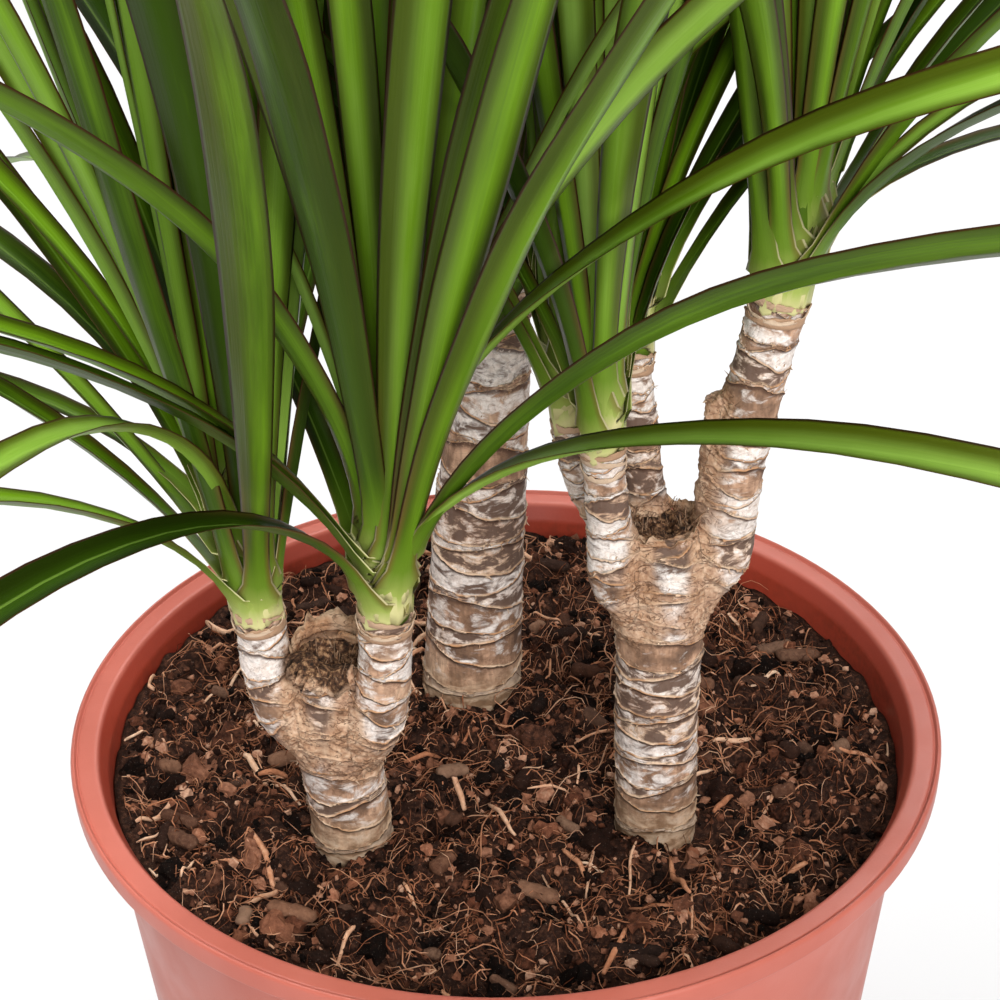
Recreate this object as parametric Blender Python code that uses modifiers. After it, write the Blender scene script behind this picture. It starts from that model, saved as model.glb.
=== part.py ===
"""Potted dracaena: three cut canes with seven leafy heads, in a plastic nursery pot.

Metres, +Z up.  The origin is the centre of the pot's flat base, +X is the right of the plant and
-Y its front.  The pot, the soil, each cane with its stems and each leafy head are solids of their
own.  The heads are made by rule: blades on a spiral round a shoot, plus a few that are placed one
by one, each bent in its own upright plane and turned aside where it would cross another blade.
"""
import math
import random

import bmesh
import bpy
import numpy as np
from mathutils.bvhtree import BVHTree

GAP = 0.0003                # clearance between touching parts
MERGE = 0.0001

# Pot: a round nursery pot of the 24 cm size, its rim a flat band with a hanging skirt
POT_HEIGHT = 0.195
RIM_RADIUS = 0.120
LIP_RADIUS = 0.113          # inner edge of the rim's flat band
WALL = 0.002
SKIRT_DROP = 0.0068
SHOULDER_Z = 0.181          # the wall is stepped in below this height
SHOULDER_STEP = 0.0009
WALL_TOP_RADIUS = 0.1128    # outside of the wall, just under the rim
BASE_RADIUS = 0.0915
FLOOR = 0.0024
POT_SIDES = 48
DRAIN_COUNT = 6
DRAIN_RADIUS = 0.0048
DRAIN_RING = 0.068

# Slivers that are dropped from a fused solid: edges that short, triangles that flat
SHORT_EDGE = 0.00008
PINCH = 0.00002             # corners that near across an edge are joined
FLAT_FACE = 0.000006
FLAT_COLLAPSE = 0.0003      # a flat triangle with an edge under this loses that edge
MENDS = 400

# Soil: a lumpy top a little under the rim, with bark chips lying in it
SOIL_Z = 0.1835
SOIL_RISE_BACK = 0.0030     # higher at the back of the pot than at the front
SOIL_DROP_RIGHT = 0.0022
SOIL_LUMP = 0.0016
CHIP_COUNT = 30
CHIP_SEED = 4

# Canes: rows are (x, y, z, radius); the first row is the foot, buried in the soil
SCAR_PITCH = 0.0098         # one raised leaf scar to the next
SCAR_RELIEF = 0.00035
CANE_FOOT_Z = 0.095
CANE_LEFT = ((-0.0395, -0.034, CANE_FOOT_Z, 0.0105), (-0.0420, -0.034, 0.190, 0.0106),
             (-0.0436, -0.034, 0.205, 0.0107), (-0.0439, -0.034, 0.2185, 0.0120),
             (-0.0443, -0.034, 0.2300, 0.0112), (-0.0446, -0.034, 0.2425, 0.0078))
CANE_BACK = ((-0.0140, 0.033, CANE_FOOT_Z, 0.0140), (-0.0090, 0.034, 0.190, 0.0138),
             (-0.0056, 0.0345, 0.243, 0.0128), (-0.0014, 0.035, 0.281, 0.0102),
             (0.0008, 0.036, 0.307, 0.0086))
CANE_RIGHT = ((0.0400, -0.030, CANE_FOOT_Z, 0.0107), (0.0400, -0.030, 0.190, 0.0107),
              (0.0399, -0.030, 0.219, 0.0108), (0.0405, -0.030, 0.245, 0.0110),
              (0.0412, -0.030, 0.260, 0.0118), (0.0412, -0.029, 0.2740, 0.0085))
STEM_ROWS = {
    "left_outer": ((-0.0490, -0.034, 0.2165, 0.0078), (-0.0575, -0.034, 0.2240, 0.0076),
                   (-0.0614, -0.034, 0.2370, 0.0064)),
    "left_inner": ((-0.0400, -0.036, 0.2140, 0.0080), (-0.0337, -0.040, 0.2245, 0.0080),
                   (-0.0300, -0.043, 0.2420, 0.0068)),
    "right_front": ((0.0365, -0.031, 0.2520, 0.0075), (0.0290, -0.0335, 0.2620, 0.0074),
                    (0.0266, -0.034, 0.2820, 0.0053)),
    "right_side": ((0.0370, -0.027, 0.2570, 0.0045), (0.0280, -0.0185, 0.2670, 0.0048),
                   (0.0210, -0.016, 0.2810, 0.0047)),
    "right_rear": ((0.0405, -0.027, 0.2600, 0.0050), (0.0380, -0.0190, 0.2700, 0.0052),
                   (0.0355, -0.015, 0.2930, 0.0048)),
    "right_tall": ((0.0450, -0.029, 0.2520, 0.0078), (0.0555, -0.028, 0.2655, 0.0082),
                   (0.0588, -0.0275, 0.2900, 0.0072), (0.0622, -0.027, 0.3090, 0.0069)),
}
STUB_ROWS = ((0.0560, -0.0270, 0.2780, 0.0034), (0.0535, -0.0265, 0.2880, 0.0030),
             (0.0535, -0.0265, 0.3100, 0.0026))
CANE_STEMS = {
    "cane_left": (CANE_LEFT, ("left_outer", "left_inner")),
    "cane_back": (CANE_BACK, ()),
    "cane_right": (CANE_RIGHT, ("right_front", "right_side", "right_rear", "right_tall")),
}

# Heads: foot of the shoot, its lean in degrees towards +X and +Y, shoot radius, number of spiral
# blades, blade length and width, and the azimuth of the side with room for blades to hang out
HEADS = {
    "left_outer": ((-0.0623, -0.0340, 0.2548), (-6, 2), 0.0062, 16, 0.40, 0.0106, 175),
    "left_inner": ((-0.0293, -0.0440, 0.2600), (3, -3), 0.0066, 17, 0.40, 0.0112, 215),
    "back": ((0.0014, 0.0360, 0.3152), (4, 0), 0.0080, 20, 0.40, 0.0108, 95),
    "right_front": ((0.0256, -0.0340, 0.3000), (-2, -1), 0.0052, 14, 0.38, 0.0096, 150),
    "right_side": ((0.0186, -0.0160, 0.2969), (-6, 3), 0.0047, 15, 0.36, 0.0090, 140),
    "right_rear": ((0.0339, -0.0140, 0.3163), (0, 5), 0.0048, 15, 0.37, 0.0093, 60),
    "right_tall": ((0.0682, -0.0260, 0.3366), (9, 0), 0.0069, 19, 0.40, 0.0102, 10),
}
# Blades placed one by one: height up the shoot in mm, azimuth, rise at the root, rise at the tip,
# how late the bend comes (1 is even), sideways sweep, twist, length in m.  Angles in degrees.
PLACED = {
    "left_outer": ((4, 220, 72, -54, 0.65, 2, 0, 0.39), (18, 256, 88, -41, 0.6, -17, 0, 0.36),
                   (16, 174, 59, 25, 0.9, 0, -15, 0.40), (24, 162, 70, -62, 0.5, 9, 0, 0.34),
                   (23, 148, 79, -55, 0.65, 7, -20, 0.37), (26, 163, 84, -12, 0.7, 3, 0, 0.38),
                   (44, 149, 69, 35, 0.8, 1, -20, 0.40), (4, 146, 88, 3, 1.1, 6, 0, 0.38),
                   (4, -90, 88, 23, 1.0, -8, 0, 0.39), (4, -79, 70, 35, 0.55, -11, 20, 0.39),
                   (5, 30, 83, 73, 0.9, 0, 0, 0.40), (22, 106, 63, -51, 0.5, 24, 0, 0.38),
                   (8, -65, 76, 70, 0.85, 0, 0, 0.40), (11, -146, 85, 86, 0.9, 0, 25, 0.40),
                   (21, -171, 81, 68, 0.85, 0, -20, 0.40), (5, -16, 81, 65, 0.8, 0, 20, 0.40)),
    "left_inner": ((4, 231, 86, -62, 0.55, 0, -30, 0.36), (18, 193, 68, -22, 0.75, 2, -10, 0.39),
                   (24, 241, 86, 16, 0.55, -4, 25, 0.39), (29, 115, 88, -23, 0.7, 17, 0, 0.37),
                   (27, -59, 75, 74, 0.9, 0, 0, 0.40), (23, -49, 83, 22, 0.75, 1, -50, 0.40),
                   (44, 9, 80, 6, 0.6, 0, 25, 0.39), (44, -34, 78, 3, 0.5, 8, 80, 0.39),
                   (15, -50, 63, 1, 0.8, 0, -80, 0.42), (18, -50, 76, -14, 0.5, 19, 20, 0.39),
                   (29, 50, 65, -12, 0.5, -4, 0, 0.39), (10, -68, 74, 48, 0.75, 0, 0, 0.40),
                   (17, -79, 75, 51, 0.75, 4, -20, 0.40), (4, 93, 78, 53, 0.8, -17, 0, 0.39)),
    "back": ((4, 119, 67, 42, 0.8, 0, 0, 0.40), (6, 60, 73, -11, 0.5, -5, 0, 0.39),
             (11, -94, 71, 49, 0.75, -8, 0, 0.40), (7, 27, 84, 66, 0.9, 0, 20, 0.40)),
    "right_front": ((28, 40, 86, 16, 0.65, -2, 0, 0.38), (6, 53, 71, 53, 0.8, 0, 0, 0.38),
                    (11, -104, 81, 86, 0.9, 3, 0, 0.38), (8, 16, 88, 0, 0.7, -2, 20, 0.38)),
    "right_side": ((12, 142, 68, 31, 0.75, 1, 0, 0.38), (7, 160, 76, 19, 0.8, 0, -20, 0.37)),
    "right_rear": ((10, 45, 60, -20, 0.6, 0, 0, 0.36),),
    "right_tall": ((14, 31, 84, 58, 0.85, 0, 0, 0.40), (30, 23, 79, -18, 0.5, -2, 20, 0.39),
                   (10, 22, 70, -57, 0.5, -4, 0, 0.40), (18, 24, 40, -60, 0.5, -2, 0, 0.38),
                   (4, -11, 88, 9, 0.7, 0, 30, 0.40), (4, -48, 77, -29, 0.6, 0, 30, 0.39),
                   (4, -67, 88, 86, 0.9, 0, 0, 0.40), (4, 161, 79, 86, 0.8, 0, 0, 0.40)),
}
HEAD_SEED = 11
SPIRAL_STEP = 137.5
SHOOT_HEIGHT = 0.050
FIRST_BLADE = 0.004         # lowest and highest blade root on the shoot
LAST_BLADE = 0.044
BLADE_KEEL = 0.0012         # thickness of a blade along its midrib
# A blade's sections: share of its length, share of its full width
BLADE_SECTIONS = ((0.0, 0.54), (0.10, 0.61), (0.25, 0.82), (0.43, 1.0), (0.63, 0.92),
                  (0.83, 0.58), (1.0, 0.0))
CURVE_STEPS = 48
GUARD_SIDE, GUARD_ABOVE, GUARD_BELOW = 0.0004, 0.0005, 0.0006   # clear room round a blade
GUARD_SIDES = 8
CANE_SPARE = 0.0012
ROOT_FREE = 0.040           # nearer the root than this, blades of one head may fuse


def clear_scene():
    """Remove what a new file holds."""
    for item in list(bpy.data.objects):
        bpy.data.objects.remove(item, do_unlink=True)


def new_collection(name):
    """A collection in the scene."""
    group = bpy.data.collections.new(name)
    bpy.context.scene.collection.children.link(group)
    return group


def material(name, colour, roughness):
    """A plain material of one colour, given as linear RGB."""
    made = bpy.data.materials.new(name)
    made.use_nodes = True
    shader = made.node_tree.nodes["Principled BSDF"]
    shader.inputs["Base Color"].default_value = (*colour, 1.0)
    shader.inputs["Roughness"].default_value = roughness
    shader.inputs["Metallic"].default_value = 0.0
    made.diffuse_color = (*colour, 1.0)
    return made


def mesh_object(name, verts, faces, group, mat=None):
    """An object from a list of vertices and faces."""
    mesh = bpy.data.meshes.new(name)
    mesh.from_pydata([tuple(v) for v in verts], [], faces)
    mesh.update()
    made = bpy.data.objects.new(name, mesh)
    group.objects.link(made)
    if mat:
        mesh.materials.append(mat)
    return made


def evaluated_mesh(item):
    """The object's mesh as its modifiers leave it."""
    graph = bpy.context.evaluated_depsgraph_get()
    return bpy.data.meshes.new_from_object(item.evaluated_get(graph))


def apply_all(item):
    """Swap the object's mesh for the evaluated one and drop its modifiers."""
    mesh = evaluated_mesh(item)
    item.modifiers.clear()
    item.data = mesh


def hide_as_cutter(item):
    """Mark an object as a cutter: it shapes others and isn't part of the model."""
    item.hide_render = True
    item.display_type = "WIRE"


def round_shading(item, degrees):
    """Smooth shading with sharp edges past an angle."""
    item.data.shade_smooth()
    item.data.set_sharp_from_angle(angle=math.radians(degrees))


def turned(name, profile, sides, group, mat):
    """A solid turned round Z from a profile of (radius, z) rows."""
    rows = [(r, 0.0, z) for r, z in profile]
    mesh = bpy.data.meshes.new(name)
    mesh.from_pydata(rows, [(i, i + 1) for i in range(len(rows) - 1)], [])
    made = bpy.data.objects.new(name, mesh)
    group.objects.link(made)
    mesh.materials.append(mat)
    screw = made.modifiers.new("turn", "SCREW")
    screw.steps = sides
    screw.render_steps = sides
    screw.use_merge_vertices = True
    screw.merge_threshold = MERGE
    screw.use_smooth_shade = False
    return made


def tube(name, rows, group, sides_level, grow=0.0):
    """A solid tube through rows of (x, y, z, radius), closed at both ends."""
    curve = bpy.data.curves.new(name, "CURVE")
    curve.dimensions = "3D"
    curve.bevel_depth = 1.0
    curve.bevel_resolution = sides_level
    curve.use_fill_caps = True
    spline = curve.splines.new("POLY")
    spline.points.add(len(rows) - 1)
    for point, (x, y, z, radius) in zip(spline.points, rows):
        point.co = (x, y, z, 1.0)
        point.radius = radius + grow
    wire = bpy.data.objects.new(name + "_line", curve)
    group.objects.link(wire)
    mesh = evaluated_mesh(wire)
    bpy.data.objects.remove(wire, do_unlink=True)
    shape = bmesh.new()
    shape.from_mesh(mesh)
    bmesh.ops.remove_doubles(shape, verts=shape.verts, dist=1e-6)
    bmesh.ops.recalc_face_normals(shape, faces=shape.faces)
    shape.to_mesh(mesh)
    shape.free()
    mesh.name = name
    made = bpy.data.objects.new(name, mesh)
    group.objects.link(made)
    return made


def unite(target, others, solver):
    """Join the target with a list of objects by one union, and remove them."""
    pool = new_collection(target.name + "_repeats")
    for item in others:
        for owner in list(item.users_collection):
            owner.objects.unlink(item)
        pool.objects.link(item)
    join = target.modifiers.new("join", "BOOLEAN")
    join.operation = "UNION"
    join.operand_type = "COLLECTION"
    join.collection = pool
    join.solver = solver
    apply_all(target)
    for item in list(pool.objects):
        bpy.data.objects.remove(item, do_unlink=True)
    bpy.data.collections.remove(pool)
    keep_largest_body(target)
    drop_slivers(target)


def keep_largest_body(item):
    """Keep the body with the most faces: sealed hollows and loose scraps go."""
    shape = bmesh.new()
    shape.from_mesh(item.data)
    unseen = set(shape.verts)
    bodies = []
    while unseen:
        stack = [unseen.pop()]
        body = list(stack)
        while stack:
            for edge in stack.pop().link_edges:
                for vert in edge.verts:
                    if vert in unseen:
                        unseen.remove(vert)
                        stack.append(vert)
                        body.append(vert)
        bodies.append(body)
    bodies.sort(key=len)
    for body in bodies[:-1]:
        bmesh.ops.delete(shape, geom=body, context="VERTS")
    shape.to_mesh(item.data)
    shape.free()


def ring_of(vert):
    """The vertices that share an edge with this one."""
    return {edge.other_vert(vert) for edge in vert.link_edges}


def collapse_edge(shape, edge):
    """Collapse an edge to one of its ends, if the surface round it stays closed."""
    one, other = edge.verts
    if len(ring_of(one) & ring_of(other)) != 2:
        return False
    bmesh.ops.pointmerge(shape, verts=[one, other], merge_co=other.co.copy())
    return True


def turn_edge(shape, edge):
    """Turn an edge inside its two triangles, if the corners across it aren't linked yet."""
    near, far = (vert for side in edge.link_faces for vert in side.verts if vert not in edge.verts)
    if far in ring_of(near):
        return False
    bmesh.ops.rotate_edges(shape, edges=[edge], use_ccw=False)
    return True


def gap_across(edge):
    """Distance between the two corners across an edge."""
    near, far = (vert for side in edge.link_faces for vert in side.verts if vert not in edge.verts)
    return (near.co - far.co).length


def flatness(face):
    """Height of a triangle over its longest edge."""
    return 2 * face.calc_area() / max(edge.calc_length() for edge in face.edges)


def mend_one(shape):
    """Take out one short edge, pinched pair of corners or flat triangle."""
    short = [edge for edge in shape.edges if edge.calc_length() < SHORT_EDGE]
    for edge in sorted(short, key=lambda item: (item.calc_length(), item.index)):
        if collapse_edge(shape, edge):
            return True
    for edge in shape.edges:
        if gap_across(edge) < PINCH and turn_edge(shape, edge):
            return True
    for face in shape.faces:
        if flatness(face) > FLAT_FACE:
            continue
        edges = sorted(face.edges, key=lambda item: item.calc_length())
        if edges[0].calc_length() < FLAT_COLLAPSE and collapse_edge(shape, edges[0]):
            return True
        if turn_edge(shape, edges[2]):
            return True
    return False


def drop_slivers(item):
    """Triangulate a fused solid and take out the slivers that the joining left."""
    shape = bmesh.new()
    shape.from_mesh(item.data)
    bmesh.ops.triangulate(shape, faces=shape.faces)
    for _ in range(MENDS):
        shape.edges.index_update()
        if not mend_one(shape):
            break
    shape.to_mesh(item.data)
    shape.free()


def wall_radius(z):
    """Outside radius of the tapered wall below its step."""
    top = WALL_TOP_RADIUS - SHOULDER_STEP - 0.0008
    return BASE_RADIUS + (top - BASE_RADIUS) * z / SHOULDER_Z


def inner_radius(z):
    """Inside radius of the wall."""
    return wall_radius(z) - WALL


def pot_profile():
    """Section of the pot: along the floor, up the inside, over the rim and down the outside."""
    under = POT_HEIGHT - 0.0024
    return [
        (0.0, FLOOR), (inner_radius(FLOOR) - 0.002, FLOOR),
        (inner_radius(FLOOR + 0.002), FLOOR + 0.002),
        (inner_radius(POT_HEIGHT - 0.006), POT_HEIGHT - 0.006),
        (LIP_RADIUS - 0.0008, POT_HEIGHT - 0.0016), (LIP_RADIUS, POT_HEIGHT - 0.0008),
        (RIM_RADIUS - 0.0016, POT_HEIGHT - 0.0012), (RIM_RADIUS - 0.0010, POT_HEIGHT),
        (RIM_RADIUS, POT_HEIGHT - 0.0008),
        (RIM_RADIUS - 0.0003, POT_HEIGHT - SKIRT_DROP), (RIM_RADIUS - 0.0016, POT_HEIGHT - SKIRT_DROP),
        (RIM_RADIUS - 0.0018, under), (WALL_TOP_RADIUS + 0.0004, under),
        (WALL_TOP_RADIUS, under - 0.0010), (WALL_TOP_RADIUS - 0.0008, SHOULDER_Z + 0.0008),
        (wall_radius(SHOULDER_Z), SHOULDER_Z), (wall_radius(0.003), 0.003),
        (BASE_RADIUS - 0.0015, 0.0), (0.0, 0.0),
    ]


def build_pot(group, cutters, mat):
    """The pot with a ring of drain holes in its floor."""
    pot = turned("pot", pot_profile(), POT_SIDES, group, mat)
    drill_pool = new_collection("drain_holes")
    for k in range(DRAIN_COUNT):
        angle = 2 * math.pi * (k + 0.5) / DRAIN_COUNT
        bpy.ops.mesh.primitive_cylinder_add(
            vertices=10, radius=DRAIN_RADIUS, depth=0.02,
            location=(DRAIN_RING * math.cos(angle), DRAIN_RING * math.sin(angle), 0.0))
        drill = bpy.context.object
        drill.name = "drain_hole_%d" % (k + 1)
        for owner in list(drill.users_collection):
            owner.objects.unlink(drill)
        drill_pool.objects.link(drill)
        hide_as_cutter(drill)
    cutters.children.link(drill_pool)
    bpy.context.scene.collection.children.unlink(drill_pool)
    cut = pot.modifiers.new("drain", "BOOLEAN")
    cut.operation = "DIFFERENCE"
    cut.operand_type = "COLLECTION"
    cut.collection = drill_pool
    cut.solver = "EXACT"
    apply_all(pot)
    drop_slivers(pot)
    round_shading(pot, 30)
    return pot


def soil_height(x, y):
    """Height of the lumpy soil: a slope plus three crossed waves."""
    lumps = (np.sin(x * 190 + 1.0) * np.cos(y * 170)
             + 0.6 * np.sin(x * 310 - y * 260 + 2.0) + 0.5 * np.cos(x * 120 + y * 420))
    return (SOIL_Z + SOIL_RISE_BACK * y / LIP_RADIUS - SOIL_DROP_RIGHT * x / LIP_RADIUS
            + SOIL_LUMP * 0.6 * lumps)


def soil_profile():
    """Section of the soil: rings across the top, then down the wall and along the floor."""
    foot = FLOOR + GAP
    edge_z = SOIL_Z
    top = [(share * (inner_radius(edge_z) - GAP * 1.5), edge_z)
           for share in (0.0, 0.22, 0.42, 0.61, 0.80, 1.0)]
    return top + [(inner_radius(foot + 0.003) - GAP * 1.5, foot + 0.003),
                  (inner_radius(foot) - 0.004, foot), (0.0, foot)]


def build_chips(group):
    """Bark chips: small blocks laid flat at random and half sunk."""
    draw = random.Random(CHIP_SEED)
    chips = []
    while len(chips) < CHIP_COUNT:
        radius = 0.100 * math.sqrt(draw.random())
        angle = draw.uniform(0, 2 * math.pi)
        x, y = radius * math.cos(angle), radius * math.sin(angle)
        size = (draw.uniform(0.008, 0.015), draw.uniform(0.003, 0.006), draw.uniform(0.002, 0.0035))
        turn = (draw.uniform(-0.3, 0.3), draw.uniform(-0.3, 0.3), draw.uniform(0, math.pi))
        if min(math.hypot(x - row[0][0], y - row[0][1]) for row, _ in CANE_STEMS.values()) < 0.024:
            continue
        bpy.ops.mesh.primitive_cube_add(size=1.0, location=(x, y, float(soil_height(x, y))),
                                        rotation=turn, scale=size)
        chip = bpy.context.object
        chip.name = "chip_%d" % len(chips)
        for owner in list(chip.users_collection):
            owner.objects.unlink(chip)
        group.objects.link(chip)
        chips.append(chip)
    return chips


def build_soil(group, cutters, mat):
    """The soil with its chips, and a plain hole for each cane."""
    soil = turned("soil", soil_profile(), POT_SIDES, group, mat)
    apply_all(soil)
    for vert in soil.data.vertices:
        if vert.co.z > SOIL_Z - 0.001:
            vert.co.z = float(soil_height(vert.co.x, vert.co.y))
    unite(soil, build_chips(group), "EXACT")
    for name, (rows, _) in CANE_STEMS.items():
        foot, ground = np.array(rows[0]), np.array(rows[1])
        down = (foot - ground)[:3] / np.linalg.norm((foot - ground)[:3])
        low = (*(foot[:3] + down * GAP), foot[3])
        mid = (*ground[:3], ground[3])
        high = (*(ground[:3] - down * 0.02), ground[3])
        hole = tube(name + "_hole", (low, mid, high), cutters, 2, grow=GAP + SCAR_RELIEF)
        hide_as_cutter(hole)
        cut = soil.modifiers.new(name, "BOOLEAN")
        cut.operation = "DIFFERENCE"
        cut.object = hole
        cut.solver = "EXACT"
    apply_all(soil)
    keep_largest_body(soil)
    drop_slivers(soil)
    return soil


def head_axis(head):
    """Unit vector up a head's shoot."""
    lean_x, lean_y = HEADS[head][1]
    axis = np.array([math.tan(math.radians(lean_x)), math.tan(math.radians(lean_y)), 1.0])
    return axis / np.linalg.norm(axis)


def scarred(rows, start_z):
    """Rows of a cane with its leaf scars: above start_z the radius rises and falls."""
    rows = np.array(rows, float)
    length = np.concatenate([[0.0], np.cumsum(np.linalg.norm(np.diff(rows[:, :3], axis=0), axis=1))])
    start = float(np.interp(start_z, rows[:, 2], length)) if start_z > rows[0, 2] else 0.0
    count = max(2, int(round((length[-1] - start) / (SCAR_PITCH / 2))))
    stops = np.linspace(start, length[-1], count + 1)
    if start > 0:
        stops = np.concatenate([[0.0], stops])
    out = np.stack([np.interp(stops, length, rows[:, k]) for k in range(4)], axis=1)
    out[1:-1, 3] += SCAR_RELIEF * np.where(np.arange(len(out) - 2) % 2 == 0, 1.0, -1.0)
    return [tuple(row) for row in out]


def stem_rows(head):
    """Rows of a side stem, ended square to its head's shoot and just under it."""
    foot = np.array(HEADS[head][0])
    axis = head_axis(head)
    radius = HEADS[head][2]
    tail = [(*(foot - axis * reach), radius) for reach in (0.006, GAP)]
    return list(STEM_ROWS[head]) + tail


def build_cane(name, group, mat):
    """A cane with its side stems fused on."""
    rows, heads = CANE_STEMS[name]
    rows = list(rows)
    if name == "cane_back":
        foot, axis = np.array(HEADS["back"][0]), head_axis("back")
        rows.append((*(foot - axis * GAP), HEADS["back"][2]))
    cane = tube(name, scarred(rows, rows[1][2]), group, 2)
    stems = [tube("stem_" + head, scarred(stem_rows(head), 0.0), group, 2) for head in heads]
    if name == "cane_right":
        stems.append(tube("stub", STUB_ROWS, group, 1))
    if stems:
        unite(cane, stems, "EXACT")
    cane.data.materials.clear()
    cane.data.materials.append(mat)
    round_shading(cane, 50)
    return cane


def blade_line(head, blade):
    """Points along a blade's midrib: its rise eases from root to tip as share ** late."""
    height, azimuth, rise, tip_rise, late, sweep, _, length = blade
    foot = np.array(HEADS[head][0])
    turn = math.radians(azimuth)
    outward = np.array([math.cos(turn), math.sin(turn), 0.0])
    root = foot + head_axis(head) * height + outward * HEADS[head][2] * 0.9
    share = (np.arange(CURVE_STEPS) + 0.5) / CURVE_STEPS
    climb = np.radians(rise + (tip_rise - rise) * share ** late)
    way = np.radians(azimuth + sweep * share)
    steps = np.stack([np.cos(climb) * np.cos(way), np.cos(climb) * np.sin(way), np.sin(climb)], axis=1)
    walk = np.cumsum(steps, axis=0) * length / CURVE_STEPS
    return root + np.concatenate([np.zeros((1, 3)), walk])


def blade_frame(line, twist, share):
    """Point, direction across the blade and upper normal; the blade twists evenly to its tip."""
    share = np.asarray(share, float)
    place = share * CURVE_STEPS
    index = np.arange(CURVE_STEPS + 1)

    def sample(where):
        return np.stack([np.interp(where, index, line[:, k]) for k in range(3)], axis=1)

    along = sample(place + 0.6) - sample(place - 0.6)
    along /= np.linalg.norm(along, axis=1, keepdims=True)
    reach = line[-1] - line[0]
    side = np.array([-reach[1], reach[0], 0.0])
    across = side - along * (along @ side)[:, None]
    across /= np.linalg.norm(across, axis=1, keepdims=True)
    normal = np.cross(along, across)
    roll = np.radians(twist * share)[:, None]
    return (sample(place), across * np.cos(roll) + normal * np.sin(roll),
            normal * np.cos(roll) - across * np.sin(roll))


def prism(point, across, normal, width, rise, keel):
    """Four-sided tube through sections that narrow to a point at the last row.

    A section runs left edge, midrib above, right edge, keel below.  Upper and lower faces are split
    alike, so that a twisted blade doesn't cross itself.
    """
    half = (width / 2)[:, None] * across
    top = point + rise * normal
    rings = np.stack([top - half, top, top + half, point - keel[:, None] * normal], axis=1)
    count = len(point)
    verts = np.concatenate([rings[:-1].reshape(-1, 3), point[-1:]])
    faces = [(0, 1, 3), (1, 2, 3)]
    for i in range(count - 2):
        a, b = 4 * i, 4 * i + 4
        for j, k in ((0, 1), (2, 3)):
            faces += [(a + j, b + j, a + k), (a + k, b + j, b + k)]
        for j, k in ((1, 2), (3, 0)):
            faces += [(a + j, b + j, b + k), (a + j, b + k, a + k)]
    last, tip = 4 * (count - 2), 4 * (count - 1)
    faces += [(last + j, tip, last + (j + 1) % 4) for j in range(4)]
    return verts, faces


def blade_solid(head, blade, line, width):
    """A blade's solid: flat above, keeled below, its root sunk into the shoot."""
    share, wide = (np.array(column) for column in zip(*BLADE_SECTIONS))
    point, across, normal = blade_frame(line, blade[6], share)
    foot, radius = np.array(HEADS[head][0]), HEADS[head][2]
    inner = foot + head_axis(head) * max(blade[0] - 0.006, 0.0025)
    outward = line[0] - foot - head_axis(head) * blade[0]
    point[0] = inner + outward * 0.4
    keel = BLADE_KEEL * np.where(share < 0.6, 1.0, 0.75)
    wide = wide * width
    wide[0] = min(wide[0], radius)
    return prism(point, across, normal, wide, 0.0, keel)


def blade_guard(line, twist, width):
    """A thicker copy of the blade, true curve and facets both, that others keep clear of."""
    share, wide = (np.array(column) for column in zip(*BLADE_SECTIONS))
    fine = np.linspace(0.0, 1.0, 15)
    verts, faces = [], []
    for stops in (share, fine):
        point, across, normal = blade_frame(line, twist, stops)
        spread = np.interp(stops, share, wide) * width + 2 * GUARD_SIDE
        keel = np.full(len(stops), BLADE_KEEL + GUARD_BELOW)
        more, extra = prism(point, across, normal, spread, GUARD_ABOVE, keel)
        faces += [tuple(i + len(verts) for i in face) for face in extra]
        verts += [tuple(v) for v in more]
    return verts, faces


class Clearance:
    """What stands so far, with a box round each piece so that far ones are skipped."""

    def __init__(self):
        self.pieces = []

    def add(self, owner, verts, faces):
        """Note a piece and who owns it."""
        points = np.array(verts)
        tree = BVHTree.FromPolygons([tuple(v) for v in verts], faces)
        self.pieces.append((owner, points.min(axis=0), points.max(axis=0), tree))

    def hits(self, verts, faces, skipped=None, only=None):
        """True if the piece meets one that is not of the skipped owner, or one of the only owner's."""
        points = np.array(verts)
        low, high = points.min(axis=0), points.max(axis=0)
        tree = None
        for owner, box_low, box_high, other in self.pieces:
            if owner == skipped or (only and owner != only):
                continue
            if np.any(low > box_high) or np.any(high < box_low):
                continue
            tree = tree or BVHTree.FromPolygons([tuple(v) for v in verts], faces)
            if tree.overlap(other):
                return True
        return False


def outer_part(line, twist, width):
    """The blade past its root zone, which may not cross one of its own head."""
    length = float(np.linalg.norm(np.diff(line, axis=0), axis=1).sum())
    share = np.linspace(ROOT_FREE / length, 1.0, 9)
    base, wide = (np.array(column) for column in zip(*BLADE_SECTIONS))
    point, across, normal = blade_frame(line, twist, share)
    spread = np.interp(share, base, wide) * width
    return prism(point, across, normal, spread, 0.0003, np.full(len(share), BLADE_KEEL))


def nudges():
    """Ways to turn a blade aside, smallest first: (azimuth, rise, tip rise) in degrees."""
    near = [(0, 0, 0)]
    for step in (3, 6, 9, 13, 17, 22, 28, 35):
        for side in (1, -1):
            near += [(side * step, 0, 0), (side * step, 3, step), (side * step, 6, 2 * step)]
        near += [(0, 4, 2 * step), (0, -4, -step), (0, 8, 3 * step)]
    return [(turn + far, lift, tip_lift) for far in (0, 75, -75, 150, -150)
            for turn, lift, tip_lift in near]


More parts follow.
